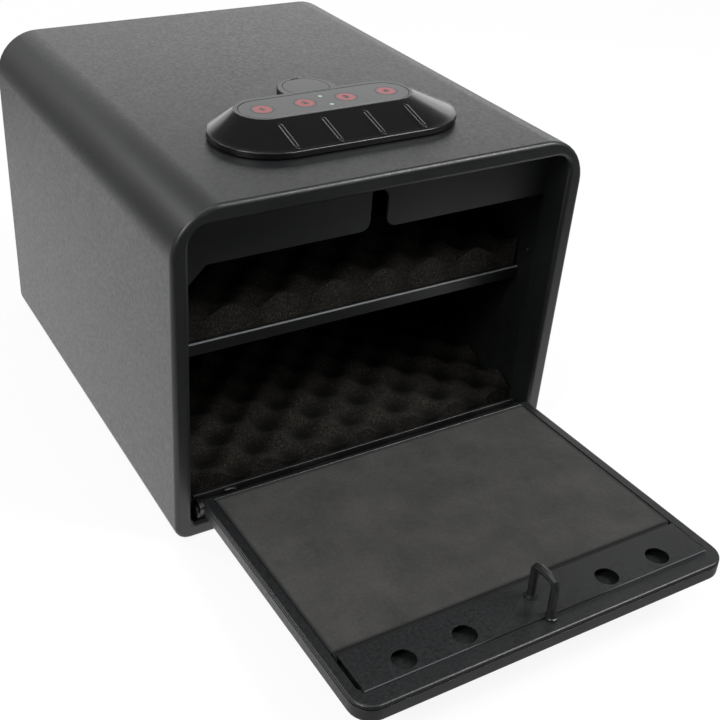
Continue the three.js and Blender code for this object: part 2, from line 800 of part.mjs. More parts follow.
function lockBarrel() {
  const body = fuse(
    discZ(0, keyholeY, barrelFoot, barrelTop, barrelDiameter / 2, 28),
    discZ(0, keyholeY, roofTop + fitGap, roofTop + 2.2, wellRadius - fitGap, 28),
  );
  return cut(body, discZ(0, keyholeY, barrelFoot - 1, barrelTop + 1, plugDiameter / 2 + slip, 24));
}
add('lock_barrel', lockBarrel(), zincSteel());

function lockNut() {
  const top = roofUnder - fitGap;
  return cut(
    discZ(0, keyholeY, top - 4, top, barrelDiameter / 2 + nutCorner, 6),
    discZ(0, keyholeY, top - 5, top + 1, barrelDiameter / 2 + fitGap, 24),
  );
}
add('lock_nut', lockNut(), zincSteel());

function lockPlug() {
  const head = discZ(0, keyholeY, barrelFoot - 1.2, barrelTop - 0.2, plugDiameter / 2, 24);
  const stem = discZ(0, keyholeY, camLow - fitGap, barrelFoot, stemRadius, 16);
  const keyway = box(-3.1, 3.1, keyholeY - 0.7, keyholeY + 0.7, barrelTop - 14, barrelTop + 1);
  return fuse(cut(head, keyway), stem);
}
add('lock_plug', lockPlug(), finish(0xb9b6ac, 0.3, 0.9));

// The cam's tip rests beside the latch's tail
const tailLean = rad(-latchOpenDeg / 2);
const tipAcross = -(tailHalf + camTip + camGap);
const tipAlong = tailReach + camContact;
const tipX = latchPivotX + tipAcross * Math.cos(tailLean) - tipAlong * Math.sin(tailLean);
const tipY = latchPivotY - keyholeY + tipAlong * Math.cos(tailLean) + tipAcross * Math.sin(tailLean);
const camReach = Math.hypot(tipX, tipY);
const camGroup = new THREE.Group();
camGroup.position.set(0, keyholeY, 0);
camGroup.rotation.z = Math.atan2(tipY, tipX);
safe.add(camGroup);

function lockCam() {
  const arm = polygon([
    ...arc(0, 0, stemRadius + 3.2, 75, 285, 10),
    ...arc(camReach, 0, camTip, -84, 84, 7),
  ]);
  return cut(plateZ(arm, camLow, camHigh), discZ(0, 0, camLow - 1, camHigh + 1, stemRadius + fitGap));
}
add('lock_cam', lockCam(), zincSteel(), camGroup);

function camScrew() {
  const top = camLow - 2 * fitGap;
  return discZ(0, keyholeY, top - 2.2, top, stemRadius + 2, 6);
}
add('cam_screw', camScrew(), zincSteel());

// Control board on standoffs under the roof, and the cable up to the keypad
const boardTop = roofUnder - fitGap - standoffHeight;
const boardY = frontY + controlBoardInset;

function controlBoard() {
  const halfX = controlBoardWidth / 2;
  const halfY = controlBoardLength / 2;
  const under = boardTop - boardThickness;
  const part = (x0, x1, y0, y1, drop) => box(controlBoardX + x0 * halfX, controlBoardX + x1 * halfX,
    boardY + y0 * halfY, boardY + y1 * halfY, under - drop, under + 0.2);
  return fuse(
    box(controlBoardX - halfX, controlBoardX + halfX, boardY - halfY, boardY + halfY, under, boardTop),
    ...corners.map(([x, y]) => discZ(controlBoardX + x * (halfX - 4), boardY + y * (halfY - 4), boardTop - 0.5,
      boardTop + standoffHeight, standoffRadius, 10)),
    part(-0.73, -0.33, -0.4, 0.2, chipHeight),
    part(0.13, 0.67, -0.75, -0.35, socketHeight),
    discZ(controlBoardX + 0.4 * halfX, boardY + 0.4 * halfY, under - capacitorHeight, under + 0.2,
      capacitorRadius, 16),
  );
}
add('control_board', controlBoard(), circuitGreen());

// Under each key, from the top down: the key's flange, its rubber dome, the mat and the key board
const keyStop = roofTop + padCeiling - fitGap;
const keyFoot = keyStop - keyFlange;
const domeTop = keyFoot - keyTravel - fitGap;
const matHigh = domeTop - domeHeight;
const matLow = matHigh - matSheet;
const keyBoardLow = matLow - fitGap - boardThickness;

function keypadCable() {
  const low = boardTop + fitGap;
  const high = keyBoardLow - fitGap;
  return fuse(
    discZ(controlBoardX, boardY, low, high, cableDiameter / 2, 12),
    box(controlBoardX - 5, controlBoardX + 5, boardY - 3, boardY + 3, low, low + 3.4),
  );
}
add('keypad_cable', keypadCable(), rubber());

// Battery tray with four cells, over a hatch in the compartment floor
const trayY = frontY + trayInset;
const trayHalfY = cellLength / 2 + 2.4;
const trayLow = coverFloor + fitGap;
const cellZ = trayLow + 1.4 + cellDiameter / 2;
const cellX = Array.from({ length: cellCount }, (_, i) => trayX + (i - (cellCount - 1) / 2) * cellPitch);

function batteryTray() {
  const block = box(trayX - trayHalfX, trayX + trayHalfX, trayY - trayHalfY, trayY + trayHalfY, trayLow,
    trayLow + cellDiameter * 0.75);
  const wells = cellX.map((x) => discY(x, cellZ, trayY - cellLength / 2 - slip, trayY + cellLength / 2 + slip,
    cellDiameter / 2 + fitGap));
  return cut(block, ...wells);
}
add('battery_tray', batteryTray(), blackPlastic());

function cell(x, way) {
  const flat = trayY - way * cellLength / 2;
  const shoulder = trayY + way * (cellLength / 2 - 1.2);
  const tip = trayY + way * cellLength / 2;
  return fuse(
    discY(x, cellZ, Math.min(flat, shoulder), Math.max(flat, shoulder), cellDiameter / 2, 16),
    discY(x, cellZ, Math.min(tip, tip - way * 1.6), Math.max(tip, tip - way * 1.6), 2.7, 10),
  );
}
cellX.forEach((x, i) => add(`battery_${i + 1}`, cell(x, i % 2 === 0 ? 1 : -1), finish(0x6f7173, 0.4, 0.5)));

const hatchScrewY = hatchY[1] + 6;

function batteryHatch() {
  const top = coverBottom - fitGap;
  const plate = box(hatchX0 - 4, hatchX1 + 4, hatchY[0] - 4, hatchY[1] + 11, top - 1.5, top);
  return cut(plate, discZ(trayX, hatchScrewY, top - 2, top + 1, 1.5 + fitGap, 12));
}
add('battery_hatch', batteryHatch(), blackPlastic());

function hatchScrew() {
  const top = coverBottom - fitGap;
  return fuse(
    discZ(trayX, hatchScrewY, top - 1.5 - fitGap - 1.6, top - 1.5 - fitGap, 3, 14),
    discZ(trayX, hatchScrewY, top - 2.5, top - 0.1, 1.5, 12),
  );
}
add('hatch_screw', hatchScrew(), zincSteel());

// Keypad housing: a hollow wedge from a wide base outline to a narrower key face, with four finger
// ribs down its front and a round boss behind it for the spare key
function padRing(share, shrink = 0) {
  const mix = (a, b) => a + (b - a) * share;
  return stadium(frontY + mix(padBaseInset, padTopInset), mix(padBaseHalf, padTopHalf),
    mix(padBaseRadius, padTopRadius) - shrink);
}

const slope = [[0.02, padSkirt], [0.97, padHeight - 0.3]];

function slopeHeight(inset) {
  const insets = slope.map(([share]) => padBaseInset - padBaseRadius
    + share * (padTopInset - padTopRadius - padBaseInset + padBaseRadius));
  const share = (inset - insets[0]) / (insets[1] - insets[0]);
  return roofTop + slope[0][1] + share * (slope[1][1] - slope[0][1]);
}

function fingerRib(x) {
  const insets = [padBaseInset + ribFootShift, padTopInset + ribTopShift];
  const heights = insets.map(slopeHeight);
  const run = insets[1] - insets[0];
  const outline = (radius) => stadium(0, run / 2, radius, 6);
  const rib = loft([[outline(ribWidth / 2), -0.6], [outline(ribWidth / 2), ribHeight / 2],
    [outline(ribWidth / 2 - 0.5), ribHeight]], stackZ);
  rib.rotateZ(Math.PI / 2).rotateX(Math.atan2(heights[1] - heights[0], run));
  return rib.translate(x, frontY + (insets[0] + insets[1]) / 2, (heights[0] + heights[1]) / 2);
}

function capOutline(grow, z0, z1) {
  const centre = frontY + capInset;
  const radius = capRadius + grow;
  const low = THREE.MathUtils.radToDeg(Math.asin((capFront - grow - capInset) / radius));
  const high = THREE.MathUtils.radToDeg(Math.asin((capRear + grow - capInset) / radius));
  return plateZ(polygon([
    ...arc(0, centre, radius, low, high, 14),
    ...arc(0, centre, radius, 180 - high, 180 - low, 14),
  ]), z0, z1);
}

const keyX = Array.from({ length: 4 }, (_, n) => (n - 1.5) * keyPitch);
const keyY = frontY + keyRowInset;
const faceRadius = padTopRadius - faceInset;
const faceLow = padTop - faceThickness;
const capPivotY = frontY + capRear + capPivotReach;
const capPivotZ = padTop - capPivotDrop;

function faceOutline(shrink) {
  return stadium(keyY, padTopHalf, faceRadius - shrink);
}

function keypadHousing() {
  const outer = [[0, gasketThickness + 2 * fitGap], [0, padSkirt - 0.7], ...slope, [1, padHeight]];
  const wedge = loft(outer.map(([share, height]) => [padRing(share), roofTop + height]), stackZ);
  const inner = [[0, -1], [0, 1.2], [0.06, 2.2], [0.84, padCeiling]];
  const cavity = loft(inner.map(([share, height]) => [padRing(share, padWall), roofTop + height]), stackZ);
  const bossY = frontY + bossInset;
  const boss = fuse(
    discZ(0, bossY, padFoot, padTop - 0.7, bossRadius, 40),
    discZ(0, bossY, padTop - 0.7, padTop, bossRadius, 40, bossRadius - 0.7),
  );
  const posts = sides.map((side) => discZ(side * padScrewX, frontY + padBaseInset, padFoot, roofTop + 7, 3.6, 14));
  const notch = box(-capKnuckleHalf - slip, capKnuckleHalf + slip, frontY + capRear - 1, frontY + bossInset
    + bossRadius + 1, padTop - 2.6, padTop + 1);
  return cut(
    fuse(cut(fuse(wedge, boss), cavity), ...posts, ...keyX.map(fingerRib)),
    loft([[faceOutline(0), faceLow - fitGap], [faceOutline(0), padTop + 1]], stackZ),
    ...keyX.map((x) => discZ(x, keyY, roofTop, padTop, keyDiameter / 2 + slip, 24)),
    ...lampInsets.map((inset) => discZ(0, frontY + inset, roofTop, padTop, lampDiameter / 2 + slip, 12)),
    ...sides.map((side) => discZ(side * padScrewX, frontY + padBaseInset, roofTop, roofTop + 6,
      padScrewDiameter / 2 + fitGap, 12)),
    capOutline(fitGap, seatFloor, padTop + 1),
    discZ(0, keyholeY, roofTop, padTop - 1, wellRadius, 28),
    notch,
    discX(-capKnuckleHalf - 2.6, capKnuckleHalf + 2.6, capPivotY, capPivotZ, capPinDiameter / 2 + 0.2, 10),
  );
}
add('keypad_housing', keypadHousing(), finish(0x141414, 0.25));

// Gasket between the housing and the roof
function keypadGasket() {
  const low = roofTop + fitGap;
  const high = low + gasketThickness;
  const band = (shrink, z0, z1) => loft([[padRing(0, shrink), z0], [padRing(0, shrink), z1]], stackZ);
  const boss = discZ(0, frontY + bossInset, low, high, bossRadius - 1.2, 32);
  const barrelHole = discZ(0, keyholeY, low - 1, high + 1, wellRadius + 1, 24);
  return cut(fuse(band(1.2, low, high), boss), band(7, low - 1, high + 1), barrelHole);
}
add('keypad_gasket', keypadGasket(), rubber());

// Key board, rubber mat with a dome under each key, keys, face plate and lamps
function keyBoard() {
  const outline = faceOutline(0.6);
  return loft([[outline, keyBoardLow], [outline, keyBoardLow + boardThickness]], stackZ);
}
add('key_board', keyBoard(), circuitGreen());

function keyMat() {
  const outline = faceOutline(1);
  const mat = loft([[outline, matLow], [outline, matHigh]], stackZ);
  const domes = keyX.map((x) => discZ(x, keyY, matHigh - 0.2, domeTop, 5.5, 14, 3.6));
  const lampHoles = lampInsets.map((inset) => discZ(0, frontY + inset, matLow - 1, matHigh + 1,
    lampDiameter / 2 + slip, 12));
  return cut(fuse(mat, ...domes), ...lampHoles);
}
add('key_mat', keyMat(), rubber());

keyX.forEach((x, n) => {
  const cap = fuse(
    discZ(x, keyY, keyFoot, keyStop, keyDiameter / 2 + 0.9, 24),
    discZ(x, keyY, keyFoot, padTop + keyProud - 0.3, keyDiameter / 2, 24),
    discZ(x, keyY, padTop + keyProud - 0.3, padTop + keyProud, keyDiameter / 2, 24, keyDiameter / 2 - 0.3),
  );
  add(`key_${n + 1}`, cap, finish(0x5a1c22, 0.5));
});

function keypadFace() {
  const plate = loft([[faceOutline(fitGap), faceLow], [faceOutline(fitGap), padTop - 0.25],
    [faceOutline(fitGap + 0.2), padTop - 0.05]], stackZ);
  return cut(
    plate,
    ...keyX.map((x) => discZ(x, keyY, faceLow - 1, padTop + 1, keyDiameter / 2 + fitGap, 24)),
    ...lampInsets.map((inset) => discZ(0, frontY + inset, faceLow - 1, padTop + 1, lampDiameter / 2 + fitGap, 12)),
  );
}
add('keypad_face', keypadFace(), finish(0x2e2f30, 0.4));

lampInsets.forEach((inset, n) => {
  const lens = discZ(0, frontY + inset, matLow, padTop - 0.05, lampDiameter / 2, 12);
  add(`status_lamp_${n + 1}`, lens, finish(0x3f9a4a, 0.3));
});

function keyholeCap() {
  const knuckle = discX(-capKnuckleHalf, capKnuckleHalf, capPivotY, capPivotZ, 1.1, 14);
  const tab = box(-capKnuckleHalf, capKnuckleHalf, frontY + capRear - 1, capPivotY, padTop - capThickness,
    padTop - 0.2);
  const bore = discX(-capKnuckleHalf - 1, capKnuckleHalf + 1, capPivotY, capPivotZ, capPinDiameter / 2 + 0.2, 10);
  return cut(fuse(capOutline(0, padTop - capThickness, padTop), tab, knuckle), bore);
}
add('keyhole_cap', keyholeCap(), finish(0x1b1c1c, 0.4));
add('cap_pin', discX(-capKnuckleHalf - 2.4, capKnuckleHalf + 2.4, capPivotY, capPivotZ, capPinDiameter / 2, 8),
  zincSteel());

const named = [[-1, 'left'], [1, 'right']];

for (const [side, name] of named) {
  const head = roofUnder - fitGap;
  const screw = fuse(
    discZ(side * padScrewX, frontY + padBaseInset, head - 2, head, padScrewDiameter, 14),
    discZ(side * padScrewX, frontY + padBaseInset, head - 1, roofTop + 5.6, padScrewDiameter / 2, 12),
  );
  add(`keypad_screw_${name}`, screw, zincSteel());
}

// Shelf, resting on an angle bracket at each side and screwed to it from below
const shelfHalf = innerX - 2 * fitGap;
const shelfLow = shelfTop - shelfSheet;
const panelInset = bodyDepth - backFlange - fitGap;
const panelClear = innerX - sheet - 2 * fitGap - slip;
const shelfScrewX = innerX - 6;
const bracketBack = bodyDepth - backFlange - bracketRearGap;
const shelfScrewY = [bracketFront + 30, bracketBack - 30].map((inset) => frontY + inset);
const shelfScrews = sides.flatMap((side) => shelfScrewY.map((y) => [side * shelfScrewX, y]));
const screwHole = (z0, z1) => shelfScrews.map(([x, y]) => discZ(x, y, z0, z1, shelfScrewDiameter / 2 + fitGap, 12));

function shelf() {
  const deck = polygon([
    [-shelfHalf, frontY + shelfFront],
    [shelfHalf, frontY + shelfFront],
    [shelfHalf, frontY + panelInset],
    [panelClear, frontY + panelInset],
    [panelClear, backY - sheet - fitGap],
    [-panelClear, backY - sheet - fitGap],
    [-panelClear, frontY + panelInset],
    [-shelfHalf, frontY + panelInset],
  ]);
  const lip = box(-shelfHalf, shelfHalf, frontY + shelfFront, frontY + shelfFront + shelfSheet,
    shelfTop - shelfLip, shelfTop);
  return cut(fuse(plateZ(deck, shelfLow, shelfTop), lip), ...screwHole(shelfLow - 1, shelfTop + 1));
}
add('shelf', shelf(), powderCoat());

for (const [side, name] of named) {
  const wall = side * (innerX - fitGap);
  const top = shelfLow - fitGap;
  const angle = polygon([
    [wall, top],
    [wall, top - bracketDrop],
    [wall - side * bracketSheet, top - bracketDrop],
    [wall - side * bracketSheet, top - bracketSheet],
    [wall - side * bracketWidth, top - bracketSheet],
    [wall - side * bracketWidth, top],
  ]);
  const length = plateY(angle, frontY + bracketFront, frontY + bracketBack);
  add(`shelf_bracket_${name}`, cut(length, ...screwHole(top - bracketSheet - 1, top + 1)), powderCoat());
}

shelfScrews.forEach(([x, y], n) => {
  const head = shelfLow - bracketSheet - 2 * fitGap;
  const screw = fuse(
    discZ(x, y, head - 1.8, head, shelfScrewDiameter - 0.2, 12),
    discZ(x, y, head - 1, shelfTop - 0.1, shelfScrewDiameter / 2, 10),
  );
  add(`shelf_screw_${n + 1}`, screw, zincSteel());
});

for (const [side, name] of named) {
  const mid = side * (innerX - fitGap - 0.6);
  add(`wall_rivet_${name}`, discX(mid - 0.6, mid + 0.6, frontY + rivetInset, rivetHeight, 2.6, 14), zincSteel());
}

// Foam linings: a flat back and a face of rounded peaks and hollows in a chequer
function ruled(from, to, phase, step) {
  const first = Math.ceil((from - phase + 1) / step);
  const last = Math.floor((to - phase - 1) / step);
  return [from, ...Array.from({ length: last - first + 1 }, (_, i) => phase + (first + i) * step), to];
}

function waveFoam(us, vs, wave, place) {
  const across = us.length;
  const corners = vs.flatMap((v) => us.map((u) => place(u, v, foamValley + (foamPeak - foamValley)
    * (0.5 + 0.5 * wave(u, v)))));
  const faces = [];
  for (let j = 0; j + 1 < vs.length; j++) {
    for (let i = 0; i + 1 < across; i++) {
      const a = j * across + i;
      const b = a + across;
      faces.push([a, a + 1, b + 1], [a, b + 1, b]);
    }
  }
  const edge = [
    ...us.slice(0, -1).map((_, i) => i),
    ...vs.slice(0, -1).map((_, j) => j * across + across - 1),
    ...us.slice(1).map((_, i) => (vs.length - 1) * across + across - 1 - i),
    ...vs.slice(1).map((_, j) => (vs.length - 1 - j) * across),
  ];
  const flat = edge.map((at) => [us[at % across], vs[Math.floor(at / across)]]);
  const base = corners.length;
  corners.push(...flat.map(([u, v]) => place(u, v, 0)));
  edge.forEach((at, i) => {
    const next = (i + 1) % edge.length;
    faces.push([at, base + i, base + next], [at, base + next, edge[next]]);
  });
  faces.push(...fillOutline(flat, base, true));
  return closedSkin(corners, faces);
}

const foamWave = (x, y) => Math.cos(2 * Math.PI * (x - foamPhaseX) / foamPitchX)
  * Math.cos(2 * Math.PI * (y - frontY - foamPhaseInset) / foamPitchY);
const foamLines = (half, fromInset, toInset) => [
  ruled(-half, half, foamPhaseX, foamPitchX / 4),
  ruled(frontY + fromInset, frontY + toInset, frontY + foamPhaseInset, foamPitchY / 4),
];

// The floor foam's underside is narrower, to clear the rounded lower corners of the shell
const floorFoamZ = sheet + fitGap;
const tuck = footRadius - sheet - 0.5;
const floorFoam = waveFoam(...foamLines(innerX - 2, rimDepth + 1.8, panelInset - fitGap), foamWave,
  (x, y, h) => new THREE.Vector3(h > 0 ? x : THREE.MathUtils.clamp(x, tuck - innerX, innerX - tuck), y, floorFoamZ + h));
add('floor_foam', floorFoam, foamBlack());

const shelfFoam = waveFoam(...foamLines(innerX - 2.5, shelfFront + 2, panelInset - fitGap), foamWave,
  (x, y, h) => new THREE.Vector3(x, y, shelfTop + fitGap + h * 0.9));
add('shelf_foam', shelfFoam, foamBlack());

const backFoamLines = [
  ruled(-panelClear + 1, panelClear - 1, foamPhaseX, foamPitchX / 4),
  ruled(floorFoamZ + foamPeak + 2, shelfLow - 4, 36, foamPitchY / 4),
];
const backFoam = waveFoam(...backFoamLines, (x, z) => foamWave(x, z + frontY + foamPhaseInset - 36),
  (x, z, h) => new THREE.Vector3(x, backY - sheet - fitGap - h * 0.85, z));
add('back_foam', backFoam, foamBlack());

export default safe;
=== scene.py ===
import json
import math

import bmesh
import bpy
from mathutils import Matrix, Vector, noise


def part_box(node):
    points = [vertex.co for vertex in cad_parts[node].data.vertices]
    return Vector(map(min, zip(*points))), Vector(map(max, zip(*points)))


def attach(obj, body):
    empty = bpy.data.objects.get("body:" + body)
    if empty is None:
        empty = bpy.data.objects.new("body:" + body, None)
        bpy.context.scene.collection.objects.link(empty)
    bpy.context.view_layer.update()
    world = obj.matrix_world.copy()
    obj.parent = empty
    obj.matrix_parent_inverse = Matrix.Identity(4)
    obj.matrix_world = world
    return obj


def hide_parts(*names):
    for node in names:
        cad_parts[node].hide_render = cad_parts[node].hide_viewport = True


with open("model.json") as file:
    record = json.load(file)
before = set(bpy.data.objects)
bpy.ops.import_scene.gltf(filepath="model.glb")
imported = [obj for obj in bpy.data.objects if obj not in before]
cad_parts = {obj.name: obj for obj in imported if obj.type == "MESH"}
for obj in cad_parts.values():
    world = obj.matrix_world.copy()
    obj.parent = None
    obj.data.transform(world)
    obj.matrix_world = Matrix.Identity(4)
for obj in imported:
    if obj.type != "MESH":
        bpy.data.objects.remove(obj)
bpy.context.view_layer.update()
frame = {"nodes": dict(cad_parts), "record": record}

print("stage: frame loaded,", len(frame["nodes"]), "nodes")

mm = 0.001
scene = bpy.context.scene
bodyOf = {node: body for body, nodes in frame["record"]["behaviour"]["bodies"].items() for node in nodes}
slotOf = {entry["node"]: entry["material_slot"] for entry in frame["record"]["subparts"]}


# colours are written as sRGB hex and used as linear values
def linear(hexColour):
    channels = [int(hexColour[i:i + 2], 16) / 255 for i in (1, 3, 5)]
    return tuple(c / 12.92 if c <= 0.04045 else ((c + 0.055) / 1.055) ** 2.4 for c in channels) + (1.0,)


# values holds settings and inputs by name; an input given a socket is linked to it
def addNode(tree, kind, values=None):
    node = tree.nodes.new(kind)
    for name, value in (values or {}).items():
        if isinstance(value, bpy.types.NodeSocket):
            tree.links.new(value, node.inputs[name])
        elif isinstance(name, int) or name in node.inputs:
            node.inputs[name].default_value = value
        else:
            setattr(node, name, value)
    return node


def calculate(tree, operation, *values):
    return addNode(tree, "ShaderNodeMath", {"operation": operation, **dict(enumerate(values))}).outputs[0]


def vectorMath(tree, operation, *values):
    return addNode(tree, "ShaderNodeVectorMath", {"operation": operation, **dict(enumerate(values))}).outputs


def splitVector(tree, vector):
    return addNode(tree, "ShaderNodeSeparateXYZ", {0: vector}).outputs


def remap(tree, value, fromMin, fromMax, toMin=0.0, toMax=1.0, shape="LINEAR"):
    return addNode(tree, "ShaderNodeMapRange", {
        "interpolation_type": shape, "Value": value, "From Min": fromMin, "From Max": fromMax,
        "To Min": toMin, "To Max": toMax}).outputs[0]


# patternMm is the real size of one grain of a noise, in millimetres
def grain(tree, coords, patternMm, detail=2.0, rough=0.5):
    return addNode(tree, "ShaderNodeTexNoise", {
        "Scale": 1 / (patternMm * mm), "Detail": detail, "Roughness": rough, "Vector": coords}).outputs[0]


def mixNoises(tree, fine, coarse, fineShare):
    return calculate(tree, "MULTIPLY_ADD", fine, fineShare, calculate(tree, "MULTIPLY", coarse, 1 - fineShare))


# most values of a noise lie in this span
noiseSpan = (0.3, 0.7)


def spread(tree, factor, low, high):
    return remap(tree, factor, *noiseSpan, low, high)


def blendColours(tree, factor, low, high, fromValue=0.35, toValue=0.65):
    ramp = addNode(tree, "ShaderNodeValToRGB", {"Fac": factor})
    for element, position, hexColour in zip(ramp.color_ramp.elements, (fromValue, toValue), (low, high)):
        element.position = position
        element.color = linear(hexColour)
    return ramp.outputs["Color"]


def mixColours(tree, factor, first, second):
    return addNode(tree, "ShaderNodeMix", {
        "data_type": "RGBA", "Factor": factor, "A": first, "B": second}).outputs["Result"]


def bump(tree, height, strength, depthMm):
    return addNode(tree, "ShaderNodeBump", {
        "Strength": strength, "Distance": depthMm * mm, "Height": height}).outputs[0]


def startMaterial(name):
    material = bpy.data.materials.new(name)
    material.use_nodes = True
    tree = material.node_tree
    tree.nodes.clear()
    output = addNode(tree, "ShaderNodeOutputMaterial")
    return material, tree, output, addNode(tree, "ShaderNodeTexCoord").outputs["Object"]


def finishWith(tree, output, values):
    shader = addNode(tree, "ShaderNodeBsdfPrincipled", values)
    tree.links.new(shader.outputs[0], output.inputs["Surface"])


# polyester powder coat over steel: sprayed dry and baked, so it is satin with a fine even peel
powderCoat = {"dark": "#111213", "light": "#191a1b", "cloudMm": 46, "grainMm": 1.9, "grainShare": 0.45,
              "peelMm": 1.3, "peelDepthMm": 0.06, "peelStrength": 0.35, "roughness": 0.4, "smoother": 0.05,
              "rougher": 0.06, "ior": 1.5}
# the shelf and the sill take a smoother coat, as they are sprayed flat, and a darker copy of its colour as
# painted shade
smoothShadedCoat = {**powderCoat, "dark": "#0b0c0d", "light": "#111213", "cloudMm": 30, "grainMm": 2.4,
             "peelMm": 4, "roughness": 0.44}
# painted highlight: a pale bare-metal colour painted along the upper front edge of a piece as its light line;
# how far back and down from that edge, in millimetres. Where a span is given, the painted highlight is left out
# within its first value of x = 0 and is full from its second value on
paintedEdgeHighlights = {
    "shelf": {"reachY": 0.8, "reachZ": 0.8, "fadeInMm": None, "bare": "#7d7f81"},
    "stiffener_strip": {"reachY": 0.38, "reachZ": 9, "fadeInMm": (32, 52), "bare": "#56585a"},
}


# paints the highlight line along a piece's upper front edge in a paler colour
def rubBare(tree, coords, coat, node):
    edgeLine = paintedEdgeHighlights[node]
    low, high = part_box(node)
    place = splitVector(tree, coords)
    share = calculate(tree, "MULTIPLY",
                      calculate(tree, "LESS_THAN", place["Y"], low.y + edgeLine["reachY"] * mm),
                      calculate(tree, "GREATER_THAN", place["Z"], high.z - edgeLine["reachZ"] * mm))
    if edgeLine["fadeInMm"]:
        aside = calculate(tree, "ABSOLUTE", place["X"])
        share = calculate(tree, "MULTIPLY", share, remap(tree, aside, *(reach * mm for reach in edgeLine["fadeInMm"])))
    return mixColours(tree, share, coat, linear(edgeLine["bare"]))


def powderCoatedSteel(name, look, highlightedNode=None):
    material, tree, output, coords = startMaterial(name)
    cloud = grain(tree, coords, look["cloudMm"], 3)
    fleck = grain(tree, coords, look["grainMm"])
    colour = blendColours(tree, mixNoises(tree, fleck, cloud, look["grainShare"]), look["dark"], look["light"])
    # the named piece gets a painted highlight along its upper front edge
    if highlightedNode:
        colour = rubBare(tree, coords, colour, highlightedNode)
    peel = grain(tree, coords, look["peelMm"])
    rough = look["roughness"]
    finishWith(tree, output, {
        "IOR": look["ior"], "Base Color": colour,
        "Roughness": spread(tree, fleck, rough - look["smoother"], rough + look["rougher"]),
        "Normal": bump(tree, peel, look["peelStrength"], look["peelDepthMm"])})
    return material


zinc = {"cloudMm": 4, "dark": "#9a9c9e", "light": "#b6b8ba", "roughness": (0.26, 0.4)}


# bright zinc plate on turned and pressed steel, with a faint cloudiness
def zincPlatedSteel():
    material, tree, output, coords = startMaterial("bright zinc plate")
    cloud = grain(tree, coords, zinc["cloudMm"], 3)
    finishWith(tree, output, {
        "Metallic": 1.0, "Base Color": blendColours(tree, cloud, zinc["dark"], zinc["light"]),
        "Roughness": spread(tree, cloud, *zinc["roughness"])})
    return material


# moulded ABS from a polished tool, with the flat top of the moulding and its skirt left satin, and the flat top
# painted lighter than the flanks, as painted light on the top and painted shade on the flanks. Depths are
# measured down from the top of the moulding
moulding = {"shadedFlankDark": "#060606", "shadedFlankLight": "#090909", "litTopDark": "#262728", "litTopLight": "#2e2f30",
            "smearMm": 2.4, "flankRough": 0.21, "topRough": 0.38, "skirtRough": 0.3,
            "satinMm": 0.1, "fadeMm": 0.1, "skirtMm": (7.1, 6.7), "ior": 1.53}


def glossAbs(top):
    material, tree, output, coords = startMaterial("glossy moulded ABS")
    smear = grain(tree, coords, moulding["smearMm"])
    height = splitVector(tree, coords)["Z"]
    satinFrom = top - moulding["satinMm"] * mm
    satin = remap(tree, height, satinFrom - moulding["fadeMm"] * mm, satinFrom)
    # painted light and shade: the flat top takes the lighter colour and the flanks the darker one
    colour = mixColours(tree, satin, blendColours(tree, smear, moulding["shadedFlankDark"], moulding["shadedFlankLight"]),
                        blendColours(tree, smear, moulding["litTopDark"], moulding["litTopLight"]))
    skirt = remap(tree, height, *(top - depth * mm for depth in moulding["skirtMm"]),
                  moulding["skirtRough"], moulding["flankRough"])
    finishWith(tree, output, {
        "IOR": moulding["ior"], "Base Color": colour,
        "Roughness": remap(tree, satin, 0.0, 1.0, skirt, moulding["topRough"])})
    return material


matt = {"grainStrength": 0.25, "grainDepthMm": 0.05, "smoother": 0.04, "rougher": 0.05, "ior": 1.49}


# fine spark-eroded plastic, also used for paint and dull metal: an even skin with a soft grain
def mattPlastic(name, dark, light, roughness, grainMm):
    material, tree, output, coords = startMaterial(name)
    fleck = grain(tree, coords, grainMm)
    finishWith(tree, output, {
        "IOR": matt["ior"], "Base Color": blendColours(tree, fleck, dark, light),
        "Roughness": spread(tree, fleck, roughness - matt["smoother"], roughness + matt["rougher"]),
        "Normal": bump(tree, fleck, matt["grainStrength"], matt["grainDepthMm"])})
    return material


# wave foam, in millimetres: pitch and phase of its waves, the heights of their peaks and valleys, the cell of
# its mesh, the slab that it starts from and how ragged the cut is
foam = {"pitchX": 34.3, "pitchY": 34.6, "phaseX": 6.65, "phaseY": -127.5, "phaseZ": 36.0, "peak": 21.2,
        "valley": 13.2, "cell": 2.2, "slab": 2, "ragged": 1.0, "raggedPerMetre": 140.0, "seed": 4,
        "sharpDeg": 60}
# its sheets: the new piece, the axis of the second wave, the share of the full height, and how much of its
# colour a pit keeps under the painted shade, which is least on the floor
foamSheets = {
    "floor_foam": {"piece": "floor_wave_foam", "second": "Y", "height": 1.0, "pitShade": 0.14,
                   "material": "open-cell polyurethane foam"},
    "shelf_foam": {"piece": "shelf_wave_foam", "second": "Y", "height": 0.9, "pitShade": 0.66,
                   "material": "open-cell polyurethane foam, less worn"},
    "back_foam": {"piece": "back_wave_foam", "second": "Z", "height": 0.85, "pitShade": 0.3,
                  "material": "open-cell polyurethane foam, upright"},
}
foamLook = {"poreMm": 1.5, "cloudMm": 7, "dark": "#11100f", "light": "#282622", "pitShadeColour": "#020202",
            "glintMm": 0.9, "glint": "#4c4a45", "pitShadeSpan": (-0.9, 0.1), "speckSpan": (0.08, 0.42),
            "glintSpan": (0.66, 0.76), "poreStrength": 0.8, "poreDepthMm": 0.5}
